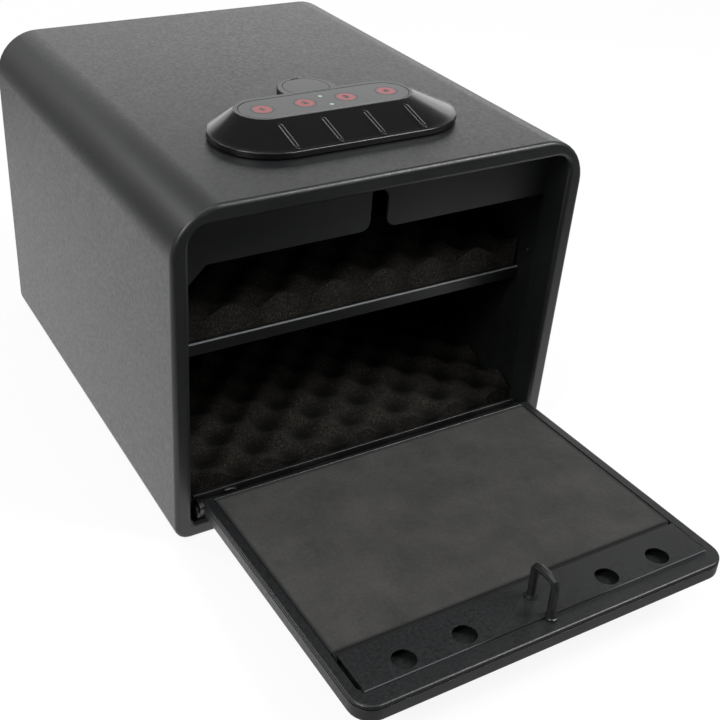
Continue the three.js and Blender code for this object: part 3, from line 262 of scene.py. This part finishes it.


# open-cell polyurethane foam: dull, full of pores that show as fine specks, with painted glints, and darker
# down in its pits by painted shade
def openCellFoam(sheet):
    material, tree, output, coords = startMaterial(sheet["material"])
    place = splitVector(tree, coords)
    waves = []
    for axis, pitch in (("X", foam["pitchX"]), (sheet["second"], foam["pitchY"])):
        turn = calculate(tree, "MULTIPLY_ADD", place[axis], 2 * math.pi / (pitch * mm),
                         -2 * math.pi * foam["phase" + axis] / pitch)
        waves.append(calculate(tree, "COSINE", turn))
    # painted shade: the colour darkens down in the pits of the waves
    lit = remap(tree, calculate(tree, "MULTIPLY", *waves), *foamLook["pitShadeSpan"], sheet["pitShade"])
    pores = addNode(tree, "ShaderNodeTexVoronoi", {
        "Scale": 1 / (foamLook["poreMm"] * mm), "Randomness": 1.0, "Vector": coords})
    cloud = grain(tree, coords, foamLook["cloudMm"], 5, 0.75)
    speck = calculate(tree, "MULTIPLY", pores.outputs["Distance"], cloud)
    plain = blendColours(tree, speck, foamLook["dark"], foamLook["light"], *foamLook["speckSpan"])
    # painted glints: small pale flecks in the colour
    glint = remap(tree, grain(tree, coords, foamLook["glintMm"], 1), *foamLook["glintSpan"])
    flecked = mixColours(tree, glint, plain, linear(foamLook["glint"]))
    finishWith(tree, output, {
        "Roughness": 0.97, "Specular IOR Level": 0.15,
        "Base Color": mixColours(tree, lit, linear(foamLook["pitShadeColour"]), flecked),
        "Normal": bump(tree, speck, foamLook["poreStrength"], foamLook["poreDepthMm"])})
    return material


felt = {"cloudMm": 24, "fuzzMm": 1.8, "fuzzShare": 0.4, "fuzzDepthMm": 0.25, "fuzzStrength": 0.55,
        "dark": "#252524", "light": "#373635", "hazeSpan": (0.36, 0.64), "border": "#0a0a0a",
        "borderMm": (0.5, 2.6)}


# needled polyester felt glued over a thin pad: matt, hazy and unevenly brushed, and darker along its border by
# painted shadow
def needledFelt(low, high):
    material, tree, output, coords = startMaterial("needled polyester felt")
    away = vectorMath(tree, "ABSOLUTE", vectorMath(tree, "SUBTRACT", coords, (low + high) / 2)[0])[0]
    inward = splitVector(tree, vectorMath(tree, "SUBTRACT", (high - low) / 2, away)[0])
    nearest = calculate(tree, "MINIMUM", inward["X"], inward["Y"])
    # painted shadow: the felt darkens within a few millimetres of its border
    edgeShadowShare = remap(tree, nearest, *(reach * mm for reach in felt["borderMm"]))
    cloud = grain(tree, coords, felt["cloudMm"], 5, 0.64)
    fuzz = grain(tree, coords, felt["fuzzMm"], 4, 0.7)
    plain = blendColours(tree, mixNoises(tree, fuzz, cloud, felt["fuzzShare"]), felt["dark"], felt["light"],
                         *felt["hazeSpan"])
    finishWith(tree, output, {
        "Roughness": 0.95, "Specular IOR Level": 0.25, "Sheen Weight": 0.15, "Sheen Roughness": 0.5,
        "Base Color": mixColours(tree, edgeShadowShare, linear(felt["border"]), plain),
        "Normal": bump(tree, fuzz, felt["fuzzStrength"], felt["fuzzDepthMm"])})
    return material


# the glow of a key from its middle to its rim, as shares of its radius, and the skin over it
keyGlow = [(0.0, "#480c11"), (0.26, "#5a1016"), (0.46, "#8c1a21"), (0.68, "#8e1a21"), (0.9, "#300a0d"),
           (1.0, "#000000")]
keySkin = {"fleckMm": 1.2, "dark": "#232425", "light": "#2c2d2e", "roughness": (0.34, 0.42)}


# translucent silicone lit from below: a soft red ring under a smoke-grey skin
def backlitKey(centre, keyRadius):
    material, tree, output, coords = startMaterial("backlit red silicone key")
    local = addNode(tree, "ShaderNodeMapping", {
        "Location": (-centre.x, -centre.y, 0), "Scale": (1, 1, 0), "Vector": coords})
    reach = vectorMath(tree, "LENGTH", local.outputs[0])["Value"]
    ramp = addNode(tree, "ShaderNodeValToRGB", {"Fac": calculate(tree, "DIVIDE", reach, keyRadius)})
    ramp.color_ramp.elements[0].color = linear(keyGlow[0][1])
    ramp.color_ramp.elements[1].color = linear(keyGlow[-1][1])
    for position, hexColour in keyGlow[1:-1]:
        ramp.color_ramp.elements.new(position).color = linear(hexColour)
    fleck = grain(tree, coords, keySkin["fleckMm"])
    finishWith(tree, output, {
        "Emission Strength": 1.0, "Emission Color": ramp.outputs[0],
        "Base Color": blendColours(tree, fleck, keySkin["dark"], keySkin["light"]),
        "Roughness": spread(tree, fleck, *keySkin["roughness"])})
    return material


# clear polycarbonate lens over a small green lamp, evenly lit
def litLens(name, hexColour, strength):
    material, tree, output = startMaterial(name)[:3]
    finishWith(tree, output, {
        "Base Color": linear(hexColour), "Emission Color": linear(hexColour), "Emission Strength": strength,
        "Roughness": 0.2})
    return material


finishes = {
    "powder_coat": powderCoatedSteel("satin black powder coat", powderCoat),
    "inner_coat": powderCoatedSteel("smooth black powder coat, darkened as painted shade", smoothShadedCoat),
    "shelf_coat": powderCoatedSteel("powder coat with a painted highlight at the shelf edge", smoothShadedCoat, "shelf"),
    "strip_coat": powderCoatedSteel("powder coat with a painted highlight at the strip edge", powderCoat, "stiffener_strip"),
    "zinc_steel": zincPlatedSteel(),
    "plug_brass": mattPlastic("nickel plated brass", "#8d8a80", "#a5a298", 0.3, 3),
    "coil": mattPlastic("enamelled copper winding", "#6a3a1c", "#92562c", 0.35, 0.8),
    "board": mattPlastic("solder-masked circuit board", "#163d22", "#22512f", 0.35, 2),
    "black_plastic": mattPlastic("grained black ABS", "#121212", "#1d1d1d", 0.55, 1.1),
    "gloss_black": glossAbs(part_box("keypad_housing")[1].z),
    "cap_black": mattPlastic("satin moulded ABS", "#181819", "#202021", 0.34, 1.4),
    "face_grey": mattPlastic("satin polycarbonate film", "#28292a", "#313233", 0.36, 1.2),
    "lamp_green": litLens("lit green lens", "#586d5c", 0.75),
    "rubber_black": mattPlastic("silicone rubber", "#101010", "#191919", 0.7, 1.2),
    "cell": mattPlastic("shrink-wrapped cell sleeve", "#53575a", "#6b6f72", 0.35, 3),
    "felt": needledFelt(*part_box("door_liner")),
    "weld": mattPlastic("painted weld metal", "#1c1d1e", "#323436", 0.24, 0.9),
    "black_oxide": mattPlastic("black oxidised steel", "#141415", "#1c1c1d", 0.34, 1.6),
    **{node: openCellFoam(sheet) for node, sheet in foamSheets.items()},
}
print("stage: materials")


def bake(piece):
    bpy.context.view_layer.update()
    evaluated = piece.evaluated_get(bpy.context.evaluated_depsgraph_get())
    mesh = bpy.data.meshes.new_from_object(evaluated)
    piece.modifiers.clear()
    piece.data = mesh


def putInScene(name, data):
    thing = bpy.data.objects.new(name, data)
    scene.collection.objects.link(thing)
    return thing


def newPiece(name, mesh, material):
    mesh.materials.clear()
    mesh.materials.append(material)
    return putInScene(name, mesh)


def smoothFaces(mesh):
    for face in mesh.polygons:
        face.use_smooth = True


# a face counts as the flat top of a soft moulding from an upward normal of levelFrom on
solidClean = {"mergeMm": 0.002, "flatDeg": 0.5, "sharpDeg": 32, "softDeg": 50, "levelFrom": 0.9995,
              "edgeSegments": 2, "flatWeight": 80}


# a smooth-shaded copy of a solid's mesh, without the doubled points and split flats of the CAD's mesh
def copySolid(node):
    mesh = frame["nodes"][node].data.copy()
    if "custom_normal" in mesh.attributes:
        mesh.attributes.remove(mesh.attributes["custom_normal"])
    work = bmesh.new()
    work.from_mesh(mesh)
    bmesh.ops.remove_doubles(work, verts=work.verts, dist=solidClean["mergeMm"] * mm)
    bmesh.ops.dissolve_limit(work, angle_limit=math.radians(solidClean["flatDeg"]), verts=work.verts,
                             edges=work.edges)
    work.to_mesh(mesh)
    work.free()
    smoothFaces(mesh)
    return mesh


# keeps the border of the flat top crisp, where a soft moulding is shaded smooth
def sharpenTop(mesh):
    work = bmesh.new()
    work.from_mesh(mesh)
    for edge in work.edges:
        level = [face.normal.z > solidClean["levelFrom"] for face in edge.link_faces]
        if any(level) and not all(level):
            edge.smooth = False
    work.to_mesh(mesh)
    work.free()


def roundEdges(piece, radiusMm, segments, fromDeg):
    rounding = piece.modifiers.new("brokenEdges", "BEVEL")
    rounding.width = radiusMm * mm
    rounding.segments = segments
    rounding.limit_method = "ANGLE"
    rounding.angle_limit = math.radians(fromDeg)


def flattenFaces(piece, weight):
    weighting = piece.modifiers.new("flatFaces", "WEIGHTED_NORMAL")
    weighting.keep_sharp = True
    weighting.weight = weight


# a skin over a solid, with its sharp edges broken by a small round
def dress(node, material, edgeMm, soft=False):
    mesh = copySolid(node)
    sharpDeg = solidClean["softDeg" if soft else "sharpDeg"]
    mesh.set_sharp_from_angle(angle=math.radians(sharpDeg))
    if soft:
        sharpenTop(mesh)
    piece = newPiece(node + "_skin", mesh, material)
    if edgeMm:
        roundEdges(piece, edgeMm, solidClean["edgeSegments"], sharpDeg)
    flattenFaces(piece, solidClean["flatWeight"])
    bake(piece)
    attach(piece, bodyOf[node])
    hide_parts(node)
    return piece


dressed = {  # node: radius of its broken edges in millimetres
    "body_shell": 0.0, "back_panel": 0.4, "hinge_sill": 0.3, "hinge_rod": 0.2, "opening_spring": 0.0,
    "door_skin": 0.3, "door_tray": 0.5, "stiffener_strip": 0.45, "striker_loop": 0.0, "lock_cover": 0.3,
    "shelf": 0.7, "shelf_bracket_left": 0.3, "shelf_bracket_right": 0.3, "latch_hook": 0.25, "latch_pin": 0.2,
    "solenoid_frame": 0.2, "solenoid_coil": 0.2, "plunger": 0.2, "plunger_spring": 0.0, "lock_barrel": 0.2,
    "lock_nut": 0.3, "lock_plug": 0.15, "lock_cam": 0.2, "cam_screw": 0.3, "battery_hatch": 0.2,
    "keypad_housing": 0.0, "keypad_face": 0.0, "keyhole_cap": 0.25, "cap_pin": 0.0, "keypad_gasket": 0.0,
    "battery_1": 0.3, "battery_2": 0.3, "battery_3": 0.3, "battery_4": 0.3, "battery_tray": 0.2,
    "wall_rivet_left": 0.4, "wall_rivet_right": 0.4,
}
ownFinish = {  # nodes that don't take the finish of their slot
    "shelf": "shelf_coat", "hinge_sill": "inner_coat", "stiffener_strip": "strip_coat",
    "hinge_rod": "black_oxide", "wall_rivet_left": "black_oxide", "wall_rivet_right": "black_oxide",
}
for node, edgeMm in dressed.items():
    dress(node, finishes[ownFinish.get(node, slotOf[node])], edgeMm, node in ("keypad_housing", "keyhole_cap"))

for node, part in frame["nodes"].items():
    if node in dressed or slotOf[node] in ("key_red", "foam", "felt"):
        continue
    part.data.materials.clear()
    part.data.materials.append(finishes[slotOf[node]])
print("stage: metal and plastic dressed")

# keys: lit silicone with a plain number on each, in millimetres. The top of a key is drawn flat, flushRise
# above the face plate, and out to its radius. That moves the points within topBand of the top, except those
# nearer to the middle than coreRadius
keys = {"radius": 6.62, "flushRise": 0.02, "topBand": 0.4, "coreRadius": 1, "digitHigh": 6.21,
        "digitRise": 0.04, "digitThick": 0.02, "digitColour": "#1c0d0e"}
digitInk = mattPlastic("dark printed digit", keys["digitColour"], keys["digitColour"], 0.5, 1)


def flattenKey(keyCap, centre, keyTop, flush):
    for vertex in keyCap.data.vertices:
        across = (vertex.co - centre).to_2d()
        if vertex.co.z > keyTop - keys["topBand"] * mm and across.length > keys["coreRadius"] * mm:
            across *= keys["radius"] * mm / across.length
            vertex.co = (centre.x + across.x, centre.y + across.y, flush)


def printDigit(number, centre, flush):
    curve = bpy.data.curves.new(f"digit_{number}", "FONT")
    curve.body = str(number)
    curve.size = keys["digitHigh"] * mm
    curve.align_x = "CENTER"
    curve.align_y = "CENTER"
    curve.extrude = keys["digitThick"] * mm
    text = putInScene(f"digitText_{number}", curve)
    bpy.context.view_layer.update()
    mesh = bpy.data.meshes.new_from_object(text.evaluated_get(bpy.context.evaluated_depsgraph_get()))
    mesh.transform(Matrix.Translation((centre.x, centre.y, flush + keys["digitRise"] * mm)))
    bpy.data.objects.remove(text)
    digit = newPiece(f"key_digit_{number}", mesh, digitInk)
    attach(digit, f"button_{number}")


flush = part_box("keypad_face")[1].z + keys["flushRise"] * mm
for number in range(1, 5):
    low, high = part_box(f"key_{number}")
    centre = (low + high) / 2
    keyCap = dress(f"key_{number}", backlitKey(centre, keys["radius"] * mm), 0.0)
    flattenKey(keyCap, centre, high.z, flush)
    printDigit(number, centre, flush)
print("stage: keys")


# inputs: name, kind of socket and default value
def startTree(name, inputs):
    tree = bpy.data.node_groups.new(name, "GeometryNodeTree")
    for label, kind, value in inputs:
        socket = tree.interface.new_socket(label, in_out="INPUT", socket_type=f"NodeSocket{kind}")
        if value is not None:
            socket.default_value = value
    tree.interface.new_socket("Geometry", in_out="OUTPUT", socket_type="NodeSocketGeometry")
    return tree, addNode(tree, "NodeGroupInput").outputs


def endTree(tree, geometry, material):
    real = addNode(tree, "GeometryNodeRealizeInstances", {"Geometry": geometry})
    painted = addNode(tree, "GeometryNodeSetMaterial", {"Geometry": real.outputs[0], "Material": material})
    addNode(tree, "NodeGroupOutput", {"Geometry": painted.outputs[0]})
    return tree


def growFrom(piece, tree, values):
    modifier = piece.modifiers.new(tree.name, "NODES")
    modifier.node_group = tree
    for item in tree.interface.items_tree:
        if item.in_out == "INPUT":
            modifier[item.identifier] = values[item.name]
    bake(piece)


# finger ribs: four smooth beads down the front slope, over the flatter ribs of the moulding, in millimetres.
# foot and head are the ends of a bead's middle line, as y and z
beads = {"count": 4, "pitch": 27.05, "start": -40.575, "foot": (-112.6, 212.89), "head": (-91.0, 218.22),
         "halfWidth": 1.5, "rise": 1.02, "around": 20, "endRings": 10, "sideRings": 5}


def beadRowTree():
    tree, given = startTree("beadRow", [
        ("Count", "Int", 4), ("Pitch", "Float", 0.027), ("Start", "Vector", (0, 0, 0)),
        ("Bead", "Object", None), ("Material", "Material", None)])
    step = addNode(tree, "ShaderNodeCombineXYZ", {"X": given["Pitch"]})
    row = addNode(tree, "GeometryNodeMeshLine", {
        "Count": given["Count"], "Start Location": given["Start"], "Offset": step.outputs[0]})
    source = addNode(tree, "GeometryNodeObjectInfo", {"Object": given["Bead"]})
    placed = addNode(tree, "GeometryNodeInstanceOnPoints", {
        "Points": row.outputs[0], "Instance": source.outputs["Geometry"]})
    return endTree(tree, placed.outputs[0], given["Material"])


# a flattened capsule along z, ring by ring; run is half the length of its straight middle
def beadMesh(run):
    halfWidth, rise = beads["halfWidth"] * mm, beads["rise"] * mm
    around, endRings, sideRings = beads["around"], beads["endRings"], beads["sideRings"]
    turns = [math.radians(90 / endRings * step) for step in range(1, endRings + 1)]
    roundEnd = [(run + halfWidth * math.cos(turn), math.sin(turn)) for turn in turns]
    straight = [(run * level / sideRings, 1.0) for level in range(sideRings - 1, -sideRings, -1)]
    rings = roundEnd + straight + [(-z, share) for z, share in reversed(roundEnd)]
    points, faces = [], []
    for z, share in rings:
        for step in range(around):
            turn = 2 * math.pi * step / around
            points.append((math.cos(turn) * share * halfWidth, math.sin(turn) * share * rise, z))
    for ring in range(len(rings) - 1):
        for step in range(around):
            here, below, ahead = ring * around, (ring + 1) * around, (step + 1) % around
            faces.append([here + step, below + step, below + ahead, here + ahead])
    faces += [list(range(around)), list(range(len(points) - 1, len(points) - 1 - around, -1))]
    mesh = bpy.data.meshes.new("ribBead")
    mesh.from_pydata(points, [], faces)
    return mesh


def fingerBeads():
    foot, head = (Vector((0, *beads[end])) * mm for end in ("foot", "head"))
    mesh = beadMesh((head - foot).length / 2 - beads["halfWidth"] * mm)
    lean = math.atan2(head.z - foot.z, head.y - foot.y)
    mesh.transform(Matrix.Rotation(lean, 4, "X") @ Matrix.Rotation(math.radians(-90), 4, "X"))
    smoothFaces(mesh)
    bead = putInScene("ribBead", mesh)
    piece = newPiece("finger_rib_beads", bpy.data.meshes.new("fingerRibBeads"), finishes["gloss_black"])
    middle = (foot + head) / 2
    growFrom(piece, beadRowTree(), {
        "Count": beads["count"], "Pitch": beads["pitch"] * mm, "Bead": bead,
        "Start": (beads["start"] * mm, middle.y, middle.z), "Material": finishes["gloss_black"]})
    bpy.data.objects.remove(bead)
    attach(piece, bodyOf["keypad_housing"])


fingerBeads()

# weld beads where the striker's wire meets the strip: low uneven lumps, in millimetres
welds = {"wire": 3.4, "size": (2.9, 2.3, 0.75), "sunk": 0.2, "uneven": 0.35, "pattern": 2.2,
         "push": (0.6, 0.6, 0.8), "subdivisions": 4}


def weldBeads():
    low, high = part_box("striker_loop")
    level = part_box("stiffener_strip")[1].z - welds["sunk"] * mm
    scale = Matrix.Diagonal(Vector((*welds["size"], 1 / mm)) * mm)  # its fourth value comes to 1
    work = bmesh.new()
    for y in (low.y + welds["wire"] / 2 * mm, high.y - welds["wire"] / 2 * mm):
        bmesh.ops.create_icosphere(work, subdivisions=welds["subdivisions"], radius=1,
                                   matrix=Matrix.Translation(((low.x + high.x) / 2, y, level)) @ scale)
    for vertex in work.verts:
        lump = noise.noise(vertex.co / (welds["pattern"] * mm))
        vertex.co += Vector(welds["push"]) * lump * welds["uneven"] * mm
    mesh = bpy.data.meshes.new("strikerWelds")
    work.to_mesh(mesh)
    work.free()
    smoothFaces(mesh)
    piece = newPiece("striker_welds", mesh, finishes["weld"])
    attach(piece, "door")


weldBeads()
print("stage: finger ribs and welds")


# wave foam: a slab whose face follows two crossed cosine waves
def waveFoamTree():
    sizes = {"Width": 0.2, "Length": 0.2, "Cell": 0.003, "Pitch U": 0.034, "Pitch V": 0.034, "Phase U": 0.0,
             "Phase V": 0.0, "Peak": 0.02, "Valley": 0.007, "Ragged": 0.0005, "Seed": 1.0}
    tree, given = startTree("waveFoam", [(name, "Float", value) for name, value in sizes.items()]
                            + [("Material", "Material", None)])

    def countAcross(size):
        cells = calculate(tree, "CEIL", calculate(tree, "DIVIDE", size, given["Cell"]))
        return calculate(tree, "ADD", cells, 1)

    slabSize = addNode(tree, "ShaderNodeCombineXYZ", {
        "X": given["Width"], "Y": given["Length"], "Z": foam["slab"] * mm})
    slab = addNode(tree, "GeometryNodeMeshCube", {
        "Size": slabSize.outputs[0], "Vertices X": countAcross(given["Width"]),
        "Vertices Y": countAcross(given["Length"]), "Vertices Z": 2})
    place = splitVector(tree, addNode(tree, "GeometryNodeInputPosition").outputs[0])

    def wave(position, phase, pitch):
        turns = calculate(tree, "DIVIDE", calculate(tree, "SUBTRACT", position, phase), pitch)
        return calculate(tree, "COSINE", calculate(tree, "MULTIPLY", turns, 2 * math.pi))

    product = calculate(tree, "MULTIPLY", wave(place["X"], given["Phase U"], given["Pitch U"]),
                        wave(place["Y"], given["Phase V"], given["Pitch V"]))
    share = calculate(tree, "ADD", calculate(tree, "MULTIPLY", product, 0.5), 0.5)
    height = calculate(tree, "ADD", given["Valley"], calculate(
        tree, "MULTIPLY", share, calculate(tree, "SUBTRACT", given["Peak"], given["Valley"])))
    ragged = addNode(tree, "ShaderNodeTexNoise", {
        "noise_dimensions": "4D", "W": given["Seed"], "Scale": foam["raggedPerMetre"], "Detail": 2.0})
    rough = calculate(tree, "MULTIPLY", calculate(tree, "SUBTRACT", ragged.outputs[0], 0.5), given["Ragged"])
    isTop = calculate(tree, "GREATER_THAN", place["Z"], 0.0)
    level = calculate(tree, "MULTIPLY", isTop, calculate(tree, "ADD", height, rough))
    target = addNode(tree, "ShaderNodeCombineXYZ", {"X": place["X"], "Y": place["Y"], "Z": level})
    shaped = addNode(tree, "GeometryNodeSetPosition", {
        "Geometry": slab.outputs["Mesh"], "Position": target.outputs[0]})
    return endTree(tree, shaped.outputs[0], given["Material"])


foamTree = waveFoamTree()


def cutFoam(node, sheet):
    low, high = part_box(node)
    middle = (low + high) / 2
    axis = sheet["second"].lower()
    placement = Matrix.Translation((middle.x, middle.y, low.z))
    if axis == "z":  # stands against the back panel
        placement = Matrix.Translation((middle.x, high.y, middle.z)) @ Matrix.Rotation(math.radians(90), 4, "X")
    piece = putInScene(sheet["piece"], bpy.data.meshes.new(sheet["piece"]))
    growFrom(piece, foamTree, {
        "Width": high.x - low.x, "Length": getattr(high, axis) - getattr(low, axis), "Cell": foam["cell"] * mm,
        "Pitch U": foam["pitchX"] * mm, "Pitch V": foam["pitchY"] * mm,
        "Phase U": foam["phaseX"] * mm - middle.x,
        "Phase V": foam["phase" + sheet["second"]] * mm - getattr(middle, axis),
        "Peak": foam["peak"] * mm * sheet["height"], "Valley": foam["valley"] * mm * sheet["height"],
        "Ragged": foam["ragged"] * mm, "Seed": float(foam["seed"]), "Material": finishes[node]})
    piece.data.transform(placement)
    smoothFaces(piece.data)
    piece.data.set_sharp_from_angle(angle=math.radians(foam["sharpDeg"]))
    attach(piece, bodyOf[node])
    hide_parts(node)


for node, sheet in foamSheets.items():
    cutFoam(node, sheet)
print("stage: foam linings")

# door liner: a thin felt-faced pad with a soft rolled edge
liner = {"edgeMm": 1.1, "segments": 3, "sharpDeg": 30, "flatWeight": 50}


def doorLiner():
    piece = newPiece("door_felt_pad", copySolid("door_liner"), finishes["felt"])
    roundEdges(piece, liner["edgeMm"], liner["segments"], liner["sharpDeg"])
    flattenFaces(piece, liner["flatWeight"])
    bake(piece)
    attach(piece, "door")
    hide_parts("door_liner")


doorLiner()
print("stage: door pad")

# floor and world: white to the camera, with the object's soft shadow kept on the floor. Paint and gloss see
# a floor that is white behind the object and falls off to dark before it, as in a studio lit from behind
stageLook = {"floorColour": "#f4f4f4", "floorHalf": 6, "floorGlow": 0.9, "worldFill": 0.11,
             "mirroredFront": 0.02, "mirroredBack": 1.2, "fallFrom": -0.5, "fallTo": -0.14,
             "nearTo": 0.38, "farFrom": 1.0, "farShare": 0.3}


def layFloor():
    half = stageLook["floorHalf"]
    mesh = bpy.data.meshes.new("studioFloor")
    corners = [(-half, -half, 0), (half, -half, 0), (half, half, 0), (-half, half, 0)]
    mesh.from_pydata(corners, [], [(0, 1, 2, 3)])
    floor = putInScene("studioFloor", mesh)
    material, tree, output, coords = startMaterial("white studio floor")
    path = addNode(tree, "ShaderNodeLightPath").outputs
    card = addNode(tree, "ShaderNodeBsdfDiffuse", {"Color": linear(stageLook["floorColour"])})
    glow = addNode(tree, "ShaderNodeEmission", {"Strength": 1.0})
    seen = calculate(tree, "MAXIMUM", path["Is Camera Ray"], path["Is Transmission Ray"])
    shown = addNode(tree, "ShaderNodeMixShader", {
        0: calculate(tree, "MULTIPLY", seen, stageLook["floorGlow"]), 1: card.outputs[0], 2: glow.outputs[0]})
    fall = remap(tree, splitVector(tree, coords)["Y"], stageLook["fallFrom"], stageLook["fallTo"],
                 stageLook["mirroredFront"], stageLook["mirroredBack"], "SMOOTHSTEP")
    reach = vectorMath(tree, "LENGTH", coords)["Value"]
    farther = remap(tree, reach, stageLook["nearTo"], stageLook["farFrom"], 1.0, stageLook["farShare"],
                    "SMOOTHSTEP")
    mirrored = addNode(tree, "ShaderNodeEmission", {"Strength": calculate(tree, "MULTIPLY", fall, farther)})
    both = addNode(tree, "ShaderNodeMixShader", {
        0: path["Is Glossy Ray"], 1: shown.outputs[0], 2: mirrored.outputs[0]})
    tree.links.new(both.outputs[0], output.inputs["Surface"])
    mesh.materials.append(material)


def lightWorld():
    world = bpy.data.worlds.new("whiteStudio")
    scene.world = world
    world.use_nodes = True
    tree = world.node_tree
    tree.nodes.clear()
    output = addNode(tree, "ShaderNodeOutputWorld")
    fill, plain = (addNode(tree, "ShaderNodeBackground", {
        "Color": (1, 1, 1, 1), "Strength": strength}).outputs[0] for strength in (stageLook["worldFill"], 1.0))
    seen = addNode(tree, "ShaderNodeLightPath").outputs["Is Camera Ray"]
    both = addNode(tree, "ShaderNodeMixShader", {0: seen, 1: fill, 2: plain})
    tree.links.new(both.outputs[0], output.inputs["Surface"])


# softboxes: place, aim, size in metres and power in watts. The low wide one behind is mirrored in the roof,
# and the small one up front to the right draws the light line along the front edge
softboxes = {
    "backPanel": {"at": (1.2, 2.0, 0.78), "aim": (0, 0, 0.2), "size": (3.2, 1.1), "watts": 19},
    "backLeft": {"at": (-1.0, 2.0, 0.9), "aim": (0, 0, 0.2), "size": (1.4, 1.4), "watts": 3},
    "highLeft": {"at": (-1.1, 1.15, 1.45), "aim": (0, 0, 0.2), "size": (0.6, 0.6), "watts": 9},
    "leftBox": {"at": (-1.3, -0.55, 1.2), "aim": (0, -0.1, 0.15), "size": (0.7, 0.7), "watts": 19},
    "topBox": {"at": (-0.2, 0.1, 1.9), "aim": (0, 0, 0.1), "size": (1.0, 1.0), "watts": 8},
    "keyBox": {"at": (0.83, -0.72, 1.25), "aim": (0, -0.15, 0.2), "size": (0.6, 0.7), "watts": 21},
    "frontLow": {"at": (0.62, -1.12, 0.66), "aim": (0, -0.15, 0.12), "size": (0.35, 0.3), "watts": 0.9},
}


def hangLights():
    for name, box in softboxes.items():
        lamp = bpy.data.lights.new(name, "AREA")
        lamp.shape = "RECTANGLE"
        lamp.size, lamp.size_y = box["size"]
        lamp.energy = box["watts"]
        holder = putInScene(name, lamp)
        aim = Vector(box["aim"]) - Vector(box["at"])
        holder.matrix_world = Matrix.Translation(box["at"]) @ aim.to_track_quat("-Z", "Y").to_matrix().to_4x4()


layFloor()
lightWorld()
hangLights()

# camera: matched to the photograph's edges; angles in radians, lengths in metres and pixels of 720
camera = {"at": (-0.31556, -0.60186, 0.44466), "yaw": 0.5285, "pitch": 0.564, "roll": 0.053,
          "focalPx": 1126.65, "centrePx": (305.05, 345.10), "framePx": 720, "sensorMm": 36, "clipFrom": 0.02}


def placeCamera():
    yaw, pitch, roll = camera["yaw"], camera["pitch"], camera["roll"]
    forward = Vector((math.sin(yaw) * math.cos(pitch), math.cos(yaw) * math.cos(pitch), -math.sin(pitch)))
    level = Vector((math.cos(yaw), -math.sin(yaw), 0))
    upright = level.cross(forward)
    right = math.cos(roll) * level + math.sin(roll) * upright
    up = -math.sin(roll) * level + math.cos(roll) * upright
    data = bpy.data.cameras.new("photoCamera")
    data.sensor_width = camera["sensorMm"]
    data.lens = camera["focalPx"] / camera["framePx"] * camera["sensorMm"]
    data.shift_x = 0.5 - camera["centrePx"][0] / camera["framePx"]
    data.shift_y = camera["centrePx"][1] / camera["framePx"] - 0.5
    data.clip_start = camera["clipFrom"]
    holder = putInScene("photoCamera", data)
    turn = Matrix((right, up, -forward)).transposed().to_4x4()
    holder.matrix_world = Matrix.Translation(camera["at"]) @ turn
    scene.camera = holder


placeCamera()
scene.view_settings.view_transform = "Standard"
print("stage: floor, light and camera")
